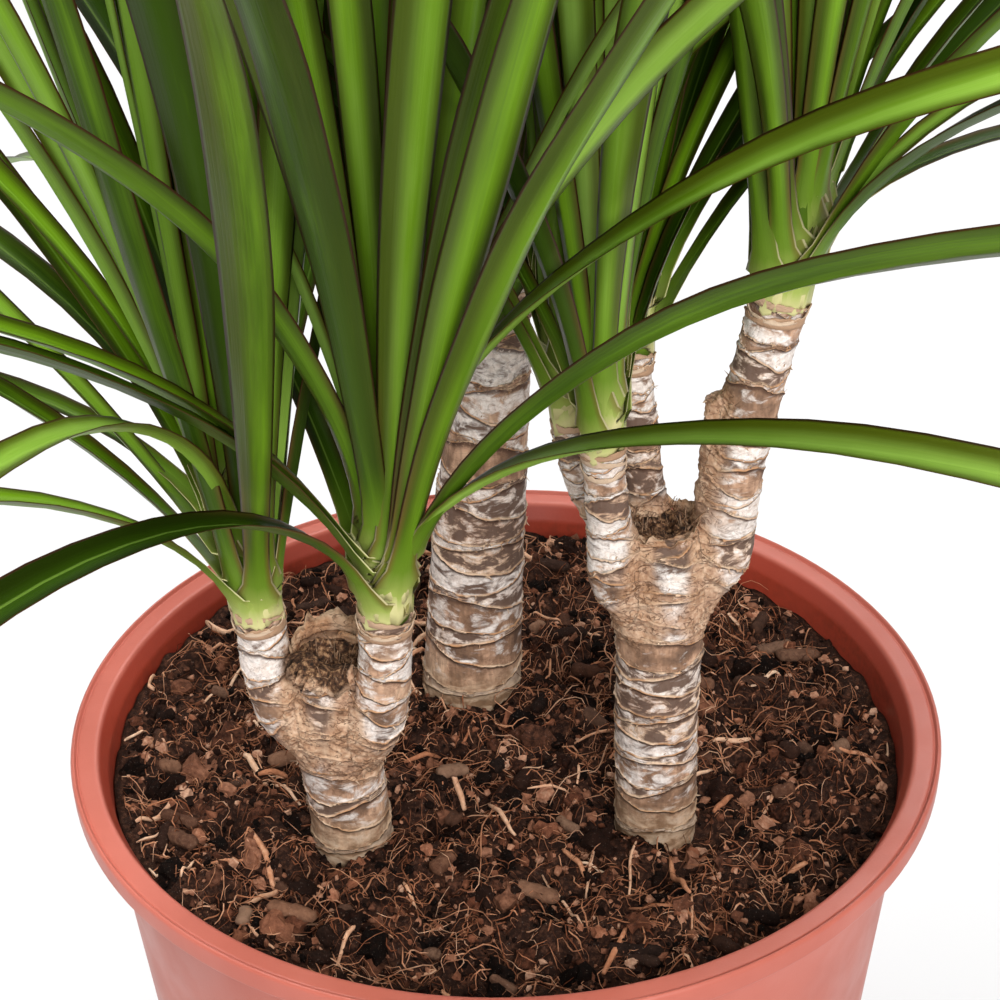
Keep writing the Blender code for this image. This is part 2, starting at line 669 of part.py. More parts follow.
def spiral_blades(head):
    """Blades by rule: up the shoot they stand steeper, and on the open side they hang out more."""
    _, _, _, count, length, _, open_side = HEADS[head]
    draw = random.Random("%s %d" % (head, HEAD_SEED))
    start = draw.uniform(0, 360)
    blades = []
    for i in range(count):
        age = 1.0 - i / (count - 1)
        azimuth = start + SPIRAL_STEP * i
        room = 0.5 + 0.5 * math.cos(math.radians(azimuth - open_side))
        hang = age * (0.35 + 0.65 * room)
        height = FIRST_BLADE + (LAST_BLADE - FIRST_BLADE) * (1.0 - age)
        rise = 87 - 24 * hang + draw.uniform(-3, 3)
        tip_rise = 82 - 105 * hang * room - 22 * hang + draw.uniform(-9, 9)
        late = draw.uniform(0.6, 1.0)
        sweep = draw.uniform(-9, 9)
        twist = draw.uniform(-40, 40)
        grown = min(1.0, 0.80 + 0.45 * age)
        reach = length * grown * draw.uniform(0.94, 1.04)
        root = (height, azimuth, min(rise, 88), tip_rise)
        blades.append(((*root, late, sweep, twist, reach), grown))
    return blades


def placed_blades(head):
    """The blades set one by one, with their heights in metres, all full grown."""
    return [((row[0] / 1000, *row[1:]), 1.0) for row in PLACED.get(head, ())]


def settle(head, blade, grown, clearance, own):
    """Turn a blade aside until it is clear of the rest; None where it can't be."""
    width = HEADS[head][5] * grown
    for turn, lift, tip_lift in nudges():
        trial = (blade[0], blade[1] + turn, min(blade[2] + lift, 88.5),
                 min(blade[3] + tip_lift, 88), *blade[4:])
        line = blade_line(head, trial)
        guard = blade_guard(line, trial[6], width)
        outer = outer_part(line, trial[6], width)
        if clearance.hits(*guard, skipped=head) or own.hits(*outer, only=head):
            continue
        clearance.add(head, *guard)
        own.add(head, *outer)
        return trial, line, width
    return None


def core_rows(head):
    """Rows of the green shoot that a head's blades grow from, standing just over its stem."""
    foot, axis, radius = np.array(HEADS[head][0]), head_axis(head), HEADS[head][2]
    return [(*(foot + axis * SHOOT_HEIGHT * up), radius * wide)
            for up, wide in ((0.0, 1.0), (0.25, 1.02), (0.7, 0.72), (1.0, 0.30))]


def round_guard(rows, spare):
    """A plain faceted tube of level rings through rows of (x, y, z, radius), spare thicker."""
    rows = np.array(rows, float)
    angle = np.arange(GUARD_SIDES) * 2 * np.pi / GUARD_SIDES
    ring = np.stack([np.cos(angle), np.sin(angle), 0 * angle], axis=1)
    verts = (rows[:, None, :3] + ring * (rows[:, 3:] + spare)[:, None]).reshape(-1, 3)
    faces = []
    for i in range(len(rows) - 1):
        for j in range(GUARD_SIDES):
            a, b = i * GUARD_SIDES + j, i * GUARD_SIDES + (j + 1) % GUARD_SIDES
            faces.append((a, b, b + GUARD_SIDES, a + GUARD_SIDES))
    return verts, faces


def lay_out_blades():
    """Settle every blade: the placed ones first, then the spiral ones, the heads by turns."""
    clearance, own = Clearance(), Clearance()
    clearance.add("pot", *round_guard(((0, 0, SOIL_Z - 0.01, RIM_RADIUS),
                                       (0, 0, POT_HEIGHT + 0.002, RIM_RADIUS)), 0.001))
    for name, (rows, heads) in CANE_STEMS.items():
        clearance.add(name, *round_guard(rows, CANE_SPARE))
        for head in heads:
            clearance.add("stem", *round_guard(stem_rows(head), CANE_SPARE))
    for head in HEADS:
        clearance.add(head, *round_guard(core_rows(head), CANE_SPARE))
    order = [(head, blade) for head in HEADS for blade in placed_blades(head)]
    spirals = {head: spiral_blades(head) for head in HEADS}
    for turn in range(max(len(blades) for blades in spirals.values())):
        order += [(head, spirals[head][turn]) for head in reversed(HEADS) if turn < len(spirals[head])]
    settled = {head: [] for head in HEADS}
    for head, (blade, grown) in order:
        found = settle(head, blade, grown, clearance, own)
        if found:
            settled[head].append(found)
    return settled


def build_heads(group, mat):
    """Every leafy head as one fused solid."""
    for head, settled in lay_out_blades().items():
        core = tube("crown_" + head, core_rows(head), group, 2)
        blades = []
        for number, (blade, line, width) in enumerate(settled):
            verts, faces = blade_solid(head, blade, line, width)
            blades.append(mesh_object("blade_%d" % number, verts, faces, group))
        unite(core, blades, "MANIFOLD")
        core.data.materials.clear()
        core.data.materials.append(mat)
        round_shading(core, 40)


def main():
    """Build the whole plant."""
    clear_scene()
    group = new_collection("potted_dracaena")
    cutters = new_collection("cutters")
    clay = material("pot_plastic", (0.62, 0.20, 0.14), 0.45)
    earth = material("soil", (0.030, 0.016, 0.010), 0.95)
    bark = material("bark", (0.42, 0.32, 0.24), 0.85)
    green = material("leaf", (0.045, 0.16, 0.018), 0.35)
    build_pot(group, cutters, clay)
    build_soil(group, cutters, earth)
    for name in CANE_STEMS:
        build_cane(name, group, bark)
    build_heads(group, green)


if __name__ == "__main__":
    main()
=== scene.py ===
"""Potted dracaena, dressed: pot, soil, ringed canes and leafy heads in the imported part's frame.

Metres, +Z up.  Each piece is a closed surface worked out as whole arrays and stands for the plain
solid of the same name.  The blades are laid out by the rule that made the solids, then given their
true section, and a few more slim ones are set among them.
"""
import math
import random

import bmesh
import bpy
import numpy as np
from mathutils import Matrix, Vector
from mathutils.bvhtree import BVHTree


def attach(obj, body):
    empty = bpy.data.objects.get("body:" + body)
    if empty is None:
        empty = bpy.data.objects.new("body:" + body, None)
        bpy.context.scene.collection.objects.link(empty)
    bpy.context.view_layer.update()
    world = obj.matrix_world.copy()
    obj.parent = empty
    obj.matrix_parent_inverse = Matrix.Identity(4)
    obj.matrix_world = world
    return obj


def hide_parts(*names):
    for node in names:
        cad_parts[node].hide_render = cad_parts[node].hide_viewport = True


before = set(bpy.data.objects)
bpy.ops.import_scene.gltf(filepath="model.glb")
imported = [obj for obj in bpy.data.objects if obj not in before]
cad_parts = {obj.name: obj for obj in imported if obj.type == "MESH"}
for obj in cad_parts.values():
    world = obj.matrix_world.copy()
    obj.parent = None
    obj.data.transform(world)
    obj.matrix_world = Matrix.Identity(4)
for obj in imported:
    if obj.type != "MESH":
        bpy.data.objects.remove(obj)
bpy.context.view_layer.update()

bl_info = {
    "name": "Potted dracaena",
    "version": (1, 0, 0),
    "blender": (4, 5, 0),
    "location": "3D View > Sidebar > Dracaena",
    "description": "Builds a potted dracaena with cut canes, leafy heads, soil and a plain studio",
    "category": "Add Mesh",
}

GAP = 0.0003                # clearance between touching parts

# Pot: a round nursery pot of the 24 cm size, its rim a flat band with a hanging skirt
POT_HEIGHT = 0.195
RIM_RADIUS = 0.120
LIP_RADIUS = 0.113          # inner edge of the rim's flat band
WALL = 0.002
SKIRT_DROP = 0.0068
SHOULDER_Z = 0.181          # the wall is stepped in below this height
SHOULDER_STEP = 0.0009
WALL_TOP_RADIUS = 0.1128    # outside of the wall, just under the rim
BASE_RADIUS = 0.0915
FLOOR = 0.0024
DRAIN_COUNT = 6
DRAIN_RADIUS = 0.0048
DRAIN_RING = 0.068

# Soil: a lumpy top a little under the rim, with bark chips lying in it
SOIL_Z = 0.1835
SOIL_RISE_BACK = 0.0030     # higher at the back of the pot than at the front
SOIL_DROP_RIGHT = 0.0022
SOIL_LUMP = 0.0016
CHIP_COUNT = 30
CHIP_SEED = 4

# Canes: rows are (x, y, z, radius); the first row is the foot, buried in the soil
CANE_FOOT_Z = 0.095
CANE_LEFT = ((-0.0395, -0.034, CANE_FOOT_Z, 0.0105), (-0.0420, -0.034, 0.190, 0.0106),
             (-0.0436, -0.034, 0.205, 0.0107), (-0.0439, -0.034, 0.2185, 0.0120),
             (-0.0443, -0.034, 0.2300, 0.0112), (-0.0446, -0.034, 0.2425, 0.0078))
CANE_BACK = ((-0.0140, 0.033, CANE_FOOT_Z, 0.0140), (-0.0090, 0.034, 0.190, 0.0138),
             (-0.0056, 0.0345, 0.243, 0.0128), (-0.0014, 0.035, 0.281, 0.0102),
             (0.0008, 0.036, 0.307, 0.0086))
CANE_RIGHT = ((0.0400, -0.030, CANE_FOOT_Z, 0.0107), (0.0400, -0.030, 0.190, 0.0107),
              (0.0399, -0.030, 0.219, 0.0108), (0.0405, -0.030, 0.245, 0.0110),
              (0.0412, -0.030, 0.260, 0.0118), (0.0412, -0.029, 0.2740, 0.0085))
STEM_ROWS = {
    "left_outer": ((-0.0490, -0.034, 0.2165, 0.0078), (-0.0575, -0.034, 0.2240, 0.0076),
                   (-0.0614, -0.034, 0.2370, 0.0064)),
    "left_inner": ((-0.0400, -0.036, 0.2140, 0.0080), (-0.0337, -0.040, 0.2245, 0.0080),
                   (-0.0300, -0.043, 0.2420, 0.0068)),
    "right_front": ((0.0365, -0.031, 0.2520, 0.0075), (0.0290, -0.0335, 0.2620, 0.0074),
                    (0.0266, -0.034, 0.2820, 0.0053)),
    "right_side": ((0.0370, -0.027, 0.2570, 0.0045), (0.0280, -0.0185, 0.2670, 0.0048),
                   (0.0210, -0.016, 0.2810, 0.0047)),
    "right_rear": ((0.0405, -0.027, 0.2600, 0.0050), (0.0380, -0.0190, 0.2700, 0.0052),
                   (0.0355, -0.015, 0.2930, 0.0048)),
    "right_tall": ((0.0450, -0.029, 0.2520, 0.0078), (0.0555, -0.028, 0.2655, 0.0082),
                   (0.0588, -0.0275, 0.2900, 0.0072), (0.0622, -0.027, 0.3090, 0.0069)),
}
STUB_ROWS = ((0.0560, -0.0270, 0.2780, 0.0034), (0.0535, -0.0265, 0.2880, 0.0030),
             (0.0535, -0.0265, 0.3100, 0.0026))
CANE_STEMS = {
    "cane_left": (CANE_LEFT, ("left_outer", "left_inner")),
    "cane_back": (CANE_BACK, ()),
    "cane_right": (CANE_RIGHT, ("right_front", "right_side", "right_rear", "right_tall")),
}

# Heads: foot of the shoot, its lean in degrees towards +X and +Y, shoot radius, number of spiral
# blades, blade length and width, and the azimuth of the side with room for blades to hang out
HEADS = {
    "left_outer": ((-0.0623, -0.0340, 0.2548), (-6, 2), 0.0062, 16, 0.40, 0.0106, 175),
    "left_inner": ((-0.0293, -0.0440, 0.2600), (3, -3), 0.0066, 17, 0.40, 0.0112, 215),
    "back": ((0.0014, 0.0360, 0.3152), (4, 0), 0.0080, 20, 0.40, 0.0108, 95),
    "right_front": ((0.0256, -0.0340, 0.3000), (-2, -1), 0.0052, 14, 0.38, 0.0096, 150),
    "right_side": ((0.0186, -0.0160, 0.2969), (-6, 3), 0.0047, 15, 0.36, 0.0090, 140),
    "right_rear": ((0.0339, -0.0140, 0.3163), (0, 5), 0.0048, 15, 0.37, 0.0093, 60),
    "right_tall": ((0.0682, -0.0260, 0.3366), (9, 0), 0.0069, 19, 0.40, 0.0102, 10),
}
# Blades placed one by one: height up the shoot in mm, azimuth, rise at the root, rise at the tip,
# how late the bend comes (1 is even), sideways sweep, twist, length in m.  Angles in degrees.
PLACED = {
    "left_outer": ((4, 220, 72, -54, 0.65, 2, 0, 0.39), (18, 256, 88, -41, 0.6, -17, 0, 0.36),
                   (16, 174, 59, 25, 0.9, 0, -15, 0.40), (24, 162, 70, -62, 0.5, 9, 0, 0.34),
                   (23, 148, 79, -55, 0.65, 7, -20, 0.37), (26, 163, 84, -12, 0.7, 3, 0, 0.38),
                   (44, 149, 69, 35, 0.8, 1, -20, 0.40), (4, 146, 88, 3, 1.1, 6, 0, 0.38),
                   (4, -90, 88, 23, 1.0, -8, 0, 0.39), (4, -79, 70, 35, 0.55, -11, 20, 0.39),
                   (5, 30, 83, 73, 0.9, 0, 0, 0.40), (22, 106, 63, -51, 0.5, 24, 0, 0.38),
                   (8, -65, 76, 70, 0.85, 0, 0, 0.40), (11, -146, 85, 86, 0.9, 0, 25, 0.40),
                   (21, -171, 81, 68, 0.85, 0, -20, 0.40), (5, -16, 81, 65, 0.8, 0, 20, 0.40)),
    "left_inner": ((4, 231, 86, -62, 0.55, 0, -30, 0.36), (18, 193, 68, -22, 0.75, 2, -10, 0.39),
                   (24, 241, 86, 16, 0.55, -4, 25, 0.39), (29, 115, 88, -23, 0.7, 17, 0, 0.37),
                   (27, -59, 75, 74, 0.9, 0, 0, 0.40), (23, -49, 83, 22, 0.75, 1, -50, 0.40),
                   (44, 9, 80, 6, 0.6, 0, 25, 0.39), (44, -34, 78, 3, 0.5, 8, 80, 0.39),
                   (15, -50, 63, 1, 0.8, 0, -80, 0.42), (18, -50, 76, -14, 0.5, 19, 20, 0.39),
                   (29, 50, 65, -12, 0.5, -4, 0, 0.39), (10, -68, 74, 48, 0.75, 0, 0, 0.40),
                   (17, -79, 75, 51, 0.75, 4, -20, 0.40), (4, 93, 78, 53, 0.8, -17, 0, 0.39)),
    "back": ((4, 119, 67, 42, 0.8, 0, 0, 0.40), (6, 60, 73, -11, 0.5, -5, 0, 0.39),
             (11, -94, 71, 49, 0.75, -8, 0, 0.40), (7, 27, 84, 66, 0.9, 0, 20, 0.40)),
    "right_front": ((28, 40, 86, 16, 0.65, -2, 0, 0.38), (6, 53, 71, 53, 0.8, 0, 0, 0.38),
                    (11, -104, 81, 86, 0.9, 3, 0, 0.38), (8, 16, 88, 0, 0.7, -2, 20, 0.38)),
    "right_side": ((12, 142, 68, 31, 0.75, 1, 0, 0.38), (7, 160, 76, 19, 0.8, 0, -20, 0.37)),
    "right_rear": ((10, 45, 60, -20, 0.6, 0, 0, 0.36),),
    "right_tall": ((14, 31, 84, 58, 0.85, 0, 0, 0.40), (30, 23, 79, -18, 0.5, -2, 20, 0.39),
                   (10, 22, 70, -57, 0.5, -4, 0, 0.40), (18, 24, 40, -60, 0.5, -2, 0, 0.38),
                   (4, -11, 88, 9, 0.7, 0, 30, 0.40), (4, -48, 77, -29, 0.6, 0, 30, 0.39),
                   (4, -67, 88, 86, 0.9, 0, 0, 0.40), (4, 161, 79, 86, 0.8, 0, 0, 0.40)),
}
HEAD_SEED = 11
SPIRAL_STEP = 137.5
SHOOT_HEIGHT = 0.050
FIRST_BLADE = 0.004         # lowest and highest blade root on the shoot
LAST_BLADE = 0.044
BLADE_KEEL = 0.0012         # thickness of a blade along its midrib
# A blade's sections: share of its length, share of its full width
BLADE_SECTIONS = ((0.0, 0.54), (0.10, 0.61), (0.25, 0.82), (0.43, 1.0), (0.63, 0.92),
                  (0.83, 0.58), (1.0, 0.0))
CURVE_STEPS = 48
GUARD_SIDE, GUARD_ABOVE, GUARD_BELOW = 0.0004, 0.0005, 0.0006   # clear room round a blade
GUARD_SIDES = 8
GUARD_STEPS, OUTER_STEPS = 15, 9   # sections of a guard's true curve, and of a blade past its root
OUTER_RISE = 0.0003
CANE_SPARE = 0.0012
ROOT_FREE = 0.040           # nearer the root than this, blades of one head may fuse

# Looks: fineness of the meshes
POT_FACETS = 144
DRAIN_SIDES = 32
FLOOR_SIDES = 96
SOIL_GRID = 180
CAGE_SIDES = 48             # of the plain tube that the bark's cells are made from
BURIED_SIDES = 32
WALL_COLUMNS = 72
SHOOT_SIDES, SHOOT_RINGS = 24, 14
CHIP_SIDES, CHIP_RINGS = 10, 16
AT_ONCE = 20000             # points that are set against a limb at a time, to save memory
LEAF_STATIONS = 30
LEAF_ACROSS = (1.0, 0.84, 0.45, 0.0, -0.45, -0.84, -1.0)

# Soil: its gap to the pot, and how far from the axis strewn pieces reach, fibres start and chips lie
SOIL_CLEAR = GAP * 1.5
STREWN_REACH, FIBRE_REACH, CHIP_REACH = 0.1065, 0.103, 0.100

# Bark: pitch of the scars on trunks, stems and thin stems, and the radius under which a stem is
# thin; then the heights where the ringed trunk starts and its plain buried foot ends
TRUNK_PITCH = {"cane_left": 0.0048, "cane_back": 0.0060, "cane_right": 0.0047}
STEM_PITCH, THIN_PITCH, THIN_STEM = 0.0042, 0.0036, 0.0055
TRUNK_FOOT, BURIED_TOP = 0.171, 0.179
STEM_RELIEF, STUB_RELIEF = 0.85, 0.80

# Bark: rows along a limb and the reach that eases them, the steps that carry the mesh onto the
# limbs' common skin, and the fibres that stand in a cut
LIMB_STEP, LIMB_EASE = 0.0008, 0.005
FIT_STEPS, FIT_REACH = 5, 0.0012
HAIR_COUNT = 90

# Bark: scar lips, the flare of each zone up to its scar, how far a scar ring is tipped, and the
# fillet where limbs meet
SCAR_LIP = 0.00036
SCAR_FLARE = 0.00042
SCAR_TIP = 0.0032
FILLET = 0.0011
JOINT_REACH = 0.0080
CUPS = {    # centre and radius of the ball that hollows a cane's cut top
    "cane_left": ((-0.0440, -0.0384, 0.2476), 0.0100),
    "cane_right": ((0.0405, -0.0280, 0.2825), 0.0105),
}
# Torn walls of a cut: foot, radius, depth of the tears, and rows as add_torn_wall takes them
CUP_WALLS = {
    "cane_left": ((-0.0445, -0.0346, 0.2400), 0.0087, 0.0036,
                  ((0.0, 0.0036, 0.0050, 1.4), (-0.001, 0.0030, 0.0044, 2.1))),
    "cane_right": ((0.0405, -0.0280, 0.2735), 0.00903, 0.0034,
                   ((0.0, 0.0022, 0.0010, 1.2), (-0.001, 0.0018, 0.0012, -1.4))),
}
COLLARS = ((-0.0048, 0.0014, 0.0016, 0.0), (-0.0020, 0.0012, 0.0018, 2.4), (0.0002, 0.0010, 0.0014, 4.8))
# Slim blades added to each head, and how light its leaves are, from 0 to 1
SLIM_COUNT = {"left_outer": 10, "left_inner": 11, "back": 18, "right_front": 10, "right_side": 8,
              "right_rear": 10, "right_tall": 16}
HEAD_TONE = {"left_outer": 0.66, "left_inner": 0.66, "back": 0.52, "right_front": 0.58,
             "right_side": 0.54, "right_rear": 0.54, "right_tall": 0.56}

# Studio: the camera stands and looks as the photographer's did
LENS, SENSOR = 93.6, 36.0
CAMERA_SPOT = (0.0, -0.582, 0.627)
CAMERA_DOWN, CAMERA_ROLL = 31.87, -1.33
AIM = (0.0, 0.0, 0.25)
FLOOR_RADIUS = 6.0
BACKDROP = 0.93             # brightness of the surround as the camera sees it
LAMPS = (("key", (-0.8, 0.0, 2.1), 1.0), ("front", (0.4, -1.7, 1.3), 1.2), ("back", (0.5, 1.2, 1.9), 1.2))


def hashed(*whole):
    """A number in 0..1 for each row of whole numbers, always the same for the same row."""
    mix = np.zeros(np.broadcast(*whole).shape, np.int64)
    for part, prime in zip(whole, (374761393, 668265263, 1440662683, 1274126177)):
        mix = (mix + np.asarray(part, np.int64) * prime) & 0xFFFFFFFF
    mix = ((mix ^ (mix >> 13)) * 1274126177) & 0xFFFFFFFF
    mix = ((mix ^ (mix >> 15)) * 2246822519) & 0xFFFFFFFF
    return ((mix ^ (mix >> 16)) & 0xFFFFF) / 0xFFFFF


def ripple(points, size, seed, layers=1):
    """Smooth noise in about -1..1: lattice numbers eased between corners, halved layer by layer."""
    total, weight = 0.0, 1.0
    for layer in range(layers):
        cell = points / size * 2.0 ** layer + 17.3 * layer
        base = np.floor(cell)
        ease = cell - base
        ease = ease * ease * (3 - 2 * ease)
        base = base.astype(np.int64)
        value = 0.0
        for corner in range(8):
            step = np.array([corner & 1, corner >> 1 & 1, corner >> 2])
            share = np.prod(np.where(step, ease, 1 - ease), axis=-1)
            spot = base + step
            value = value + share * hashed(spot[..., 0], spot[..., 1], spot[..., 2], seed + layer)
        total = total + weight * (2 * value - 1)
        weight *= 0.5
    return total


def eased(value, low, high):
    """0 below low, 1 above high, and a smooth step between."""
    share = np.clip((value - low) / (high - low), 0.0, 1.0)
    return share * share * (3 - 2 * share)


def linear(red, green, blue):
    """Linear RGB of a colour given as 0..255 display values."""
    return tuple(((c / 255 + 0.055) / 1.055) ** 2.4 if c > 10 else c / 3295 for c in (red, green, blue))


def grid_triangles(rows, columns, closed):
    """Triangles of a grid of points numbered row by row; the columns join round when closed."""
    row, column = np.meshgrid(np.arange(rows - 1), np.arange(columns if closed else columns - 1),
                              indexing="ij")
    a = (row * columns + column).ravel()
    b = (row * columns + (column + 1) % columns).ravel()
    return np.concatenate([rows_of(a, b, b + columns), rows_of(a, b + columns, a + columns)])


def rows_of(*columns):
    """Rows made from columns; a column may be one number for all."""
    return np.stack(np.broadcast_arrays(*columns), axis=-1)


def even_turn(sides):
    """Angles of one even turn."""
    return np.arange(sides) * 2 * np.pi / sides


def rings_in(right, back, sides):
    """Unit rings in the planes of two directions: right * cos + back * sin of an even turn."""
    turn = even_turn(sides)
    return right[..., None, :] * np.cos(turn)[:, None] + back[..., None, :] * np.sin(turn)[:, None]


def unit(vectors):
    """The same directions with length 1."""
    return vectors / np.linalg.norm(vectors, axis=-1, keepdims=True)


def row_values(stops, spots, rows):
    """Rows read off between the spots they stand at, column by column."""
    return rows_of(*(np.interp(stops, spots, rows[:, k]) for k in range(rows.shape[1])))


def mesh_arrays(shape):
    """Points and triangles of an edit mesh, which is freed."""
    points = np.array([vert.co for vert in shape.verts])
    triangles = np.array([[vert.index for vert in face.verts] for face in shape.faces])
    shape.free()
    return points, triangles


def fan(ring, hub, inward):
    """Triangles from a ring of point numbers to one hub point."""
    after = np.roll(ring, -1)
    sides = (after, ring) if inward else (ring, after)
    return rows_of(*sides, hub)


def tube_triangles(stations, sides):
    """Triangles of a closed tube: rings of points, then a hub for the first and for the last ring."""
    ring, last = np.arange(sides), (stations - 1) * sides
    return np.concatenate([grid_triangles(stations, sides, True), fan(ring, last + sides, True),
                           fan(ring + last, last + sides + 1, False)])


class Skin:
    """Surfaces gathered for one piece: points, triangles and a four-part value at each point."""

    def __init__(self):
        self.points, self.triangles, self.values, self.count = [], [], [], 0

    def add(self, points, triangles, values):
        """Add a surface; values is one row for all of its points or a row for each."""
        points = np.asarray(points, float).reshape(-1, 3)
        self.points.append(points)
        self.triangles.append(np.asarray(triangles, np.int64).reshape(-1, 3) + self.count)
        self.values.append(np.broadcast_to(np.asarray(values, float), (len(points), 4)))
        self.count += len(points)

    def add_many(self, points, triangles, values):
        """Add many like surfaces at once: points is (items, corners, 3), values (items, corners, 4)."""
        items, corners = points.shape[:2]
        shift = (np.arange(items) * corners)[:, None, None]
        self.add(points, triangles[None] + shift, np.broadcast_to(values, (items, corners, 4)).reshape(-1, 4))

    def make(self, name, material, attribute, smooth=True):
        """The finished object: a mesh with the values as a colour attribute."""
        points = np.concatenate(self.points)
        triangles = np.concatenate(self.triangles)
        mesh = bpy.data.meshes.new(name)
        mesh.vertices.add(len(points))
        mesh.vertices.foreach_set("co", points.astype(np.float32).ravel())
        mesh.loops.add(triangles.size)
        mesh.loops.foreach_set("vertex_index", triangles.astype(np.int32).ravel())
        mesh.polygons.add(len(triangles))
        mesh.polygons.foreach_set("loop_start", np.arange(0, triangles.size, 3, dtype=np.int32))
        mesh.polygons.foreach_set("use_smooth", np.full(len(triangles), smooth))
        mesh.update(calc_edges=True)
        layer = mesh.attributes.new(attribute, "FLOAT_COLOR", "POINT")
        layer.data.foreach_set("color", np.concatenate(self.values).astype(np.float32).ravel())
        mesh.materials.append(material)
        made = bpy.data.objects.new(name, mesh)
        bpy.context.scene.collection.objects.link(made)
        return made


def place(piece, slot, *nodes):
    """Let a piece ride on the plant's one body and hide the solids it stands for; slot, meant to name its
    finish, is not used.
    """
    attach(piece, "root")
    if nodes:
        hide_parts(*nodes)
    return piece


class Finish:
    """A material being wired, with short calls for the nodes that the finishes use."""

    def __init__(self, name, roughness, specular=0.5):
        self.material = bpy.data.materials.new(name)
        self.material.use_nodes = True
        self.tree = self.material.node_tree
        self.shader = self.tree.nodes["Principled BSDF"]
        self.shader.inputs["Roughness"].default_value = roughness
        self.shader.inputs["Specular IOR Level"].default_value = specular
        self.place = self.tree.nodes.new("ShaderNodeTexCoord").outputs["Object"]

    def feed(self, socket, value):
        """Link a socket to another, or set its value."""
        if isinstance(value, bpy.types.NodeSocket):
            self.tree.links.new(value, socket)
        elif isinstance(value, tuple) and len(value) == 3 and socket.type == "RGBA":
            socket.default_value = (*value, 1.0)
        else:
            socket.default_value = value

    def values(self, attribute):
        """The four parts of a point attribute, as sockets."""
        node = self.tree.nodes.new("ShaderNodeAttribute")
        node.attribute_name = attribute
        parts = self.tree.nodes.new("ShaderNodeSeparateColor")
        self.tree.links.new(node.outputs["Color"], parts.inputs["Color"])
        return (*parts.outputs, node.outputs["Alpha"])

    def math(self, operation, first, second=0.0, clamp=False):
        """One sum on two numbers."""
        node = self.tree.nodes.new("ShaderNodeMath")
        node.operation = operation
        node.use_clamp = clamp
        self.feed(node.inputs[0], first)
        self.feed(node.inputs[1], second)
        return node.outputs[0]

    def times(self, first, second):
        """Product."""
        return self.math("MULTIPLY", first, second)

    def plus(self, first, second):
        """Sum."""
        return self.math("ADD", first, second)

    def minus(self, first, second):
        """Difference."""
        return self.math("SUBTRACT", first, second)

    def scaled(self, scale):
        """Object coordinates, each stretched by its own factor."""
        node = self.tree.nodes.new("ShaderNodeMapping")
        node.inputs["Scale"].default_value = scale
        self.feed(node.inputs["Vector"], self.place)
        return node.outputs[0]

    def join(self, x, y, z):
        """A vector from three numbers."""
        node = self.tree.nodes.new("ShaderNodeCombineXYZ")
        for socket, value in zip(node.inputs, (x, y, z)):
            self.feed(socket, value)
        return node.outputs[0]

    def noise(self, scale, detail=3.0, rough=0.5, where=None, twist=0.0):
        """Cloudy noise in 0..1; scale is in waves per metre on object coordinates."""
        node = self.tree.nodes.new("ShaderNodeTexNoise")
        self.feed(node.inputs["Vector"], where or self.place)
        node.inputs["Scale"].default_value = scale
        node.inputs["Detail"].default_value = detail
        node.inputs["Roughness"].default_value = rough
        node.inputs["Distortion"].default_value = twist
        return node.outputs["Fac"]

    def span(self, value, low, high, to_low=0.0, to_high=1.0):
        """Carry low..high smoothly to another range, held at its ends."""
        node = self.tree.nodes.new("ShaderNodeMapRange")
        node.interpolation_type = "SMOOTHSTEP"
        for socket, number in zip(node.inputs, (value, low, high, to_low, to_high)):
            self.feed(socket, number)
        return node.outputs[0]

    def mix(self, share, first, second, blend="MIX"):
        """One colour over another."""
        node = self.tree.nodes.new("ShaderNodeMix")
        node.data_type = "RGBA"
        node.blend_type = blend
        for index, value in ((0, share), (6, first), (7, second)):
            self.feed(node.inputs[index], value)
        return node.outputs[2]

    def ramp(self, value, *stops):
        """A colour picked along stops of (place, colour)."""
        node = self.tree.nodes.new("ShaderNodeValToRGB")
        band = node.color_ramp
        while len(band.elements) < len(stops):
            band.elements.new(0.5)
        for element, (spot, colour) in zip(band.elements, stops):
            element.position = spot
            element.color = (*colour, 1.0)
        self.feed(node.inputs[0], value)
        return node.outputs[0]

    def bump(self, height, distance, strength=1.0):
        """Fine relief."""
        node = self.tree.nodes.new("ShaderNodeBump")
        node.inputs["Distance"].default_value = distance
        node.inputs["Strength"].default_value = strength
        self.feed(node.inputs["Height"], height)
        self.feed(self.shader.inputs["Normal"], node.outputs[0])

    def colour(self, value):
        """Set the shader's colour."""
        self.feed(self.shader.inputs["Base Color"], value)

    def roughness(self, value):
        """Set the shader's roughness."""
        self.feed(self.shader.inputs["Roughness"], value)


def wall_radius(z):
    """Outside radius of the tapered wall below its step."""
    top = WALL_TOP_RADIUS - SHOULDER_STEP - 0.0008
    return BASE_RADIUS + (top - BASE_RADIUS) * z / SHOULDER_Z


def inner_radius(z):
    """Inside radius of the wall."""
    return wall_radius(z) - WALL


def soil_height(x, y):
    """Height of the lumpy soil: a slope plus three crossed waves."""
    lumps = (np.sin(x * 190 + 1.0) * np.cos(y * 170)
             + 0.6 * np.sin(x * 310 - y * 260 + 2.0) + 0.5 * np.cos(x * 120 + y * 420))
    return (SOIL_Z + SOIL_RISE_BACK * y / LIP_RADIUS - SOIL_DROP_RIGHT * x / LIP_RADIUS
            + SOIL_LUMP * 0.6 * lumps)


def head_axis(head):
    """Unit vector up a head's shoot."""
    lean_x, lean_y = HEADS[head][1]
    axis = np.array([math.tan(math.radians(lean_x)), math.tan(math.radians(lean_y)), 1.0])
    return axis / np.linalg.norm(axis)


def stem_rows(head):
    """Rows of a side stem, ended square to its head's shoot and just under it."""
    foot = np.array(HEADS[head][0])
    axis = head_axis(head)
    radius = HEADS[head][2]
    tail = [(*(foot - axis * reach), radius) for reach in (0.006, GAP)]
    return list(STEM_ROWS[head]) + tail


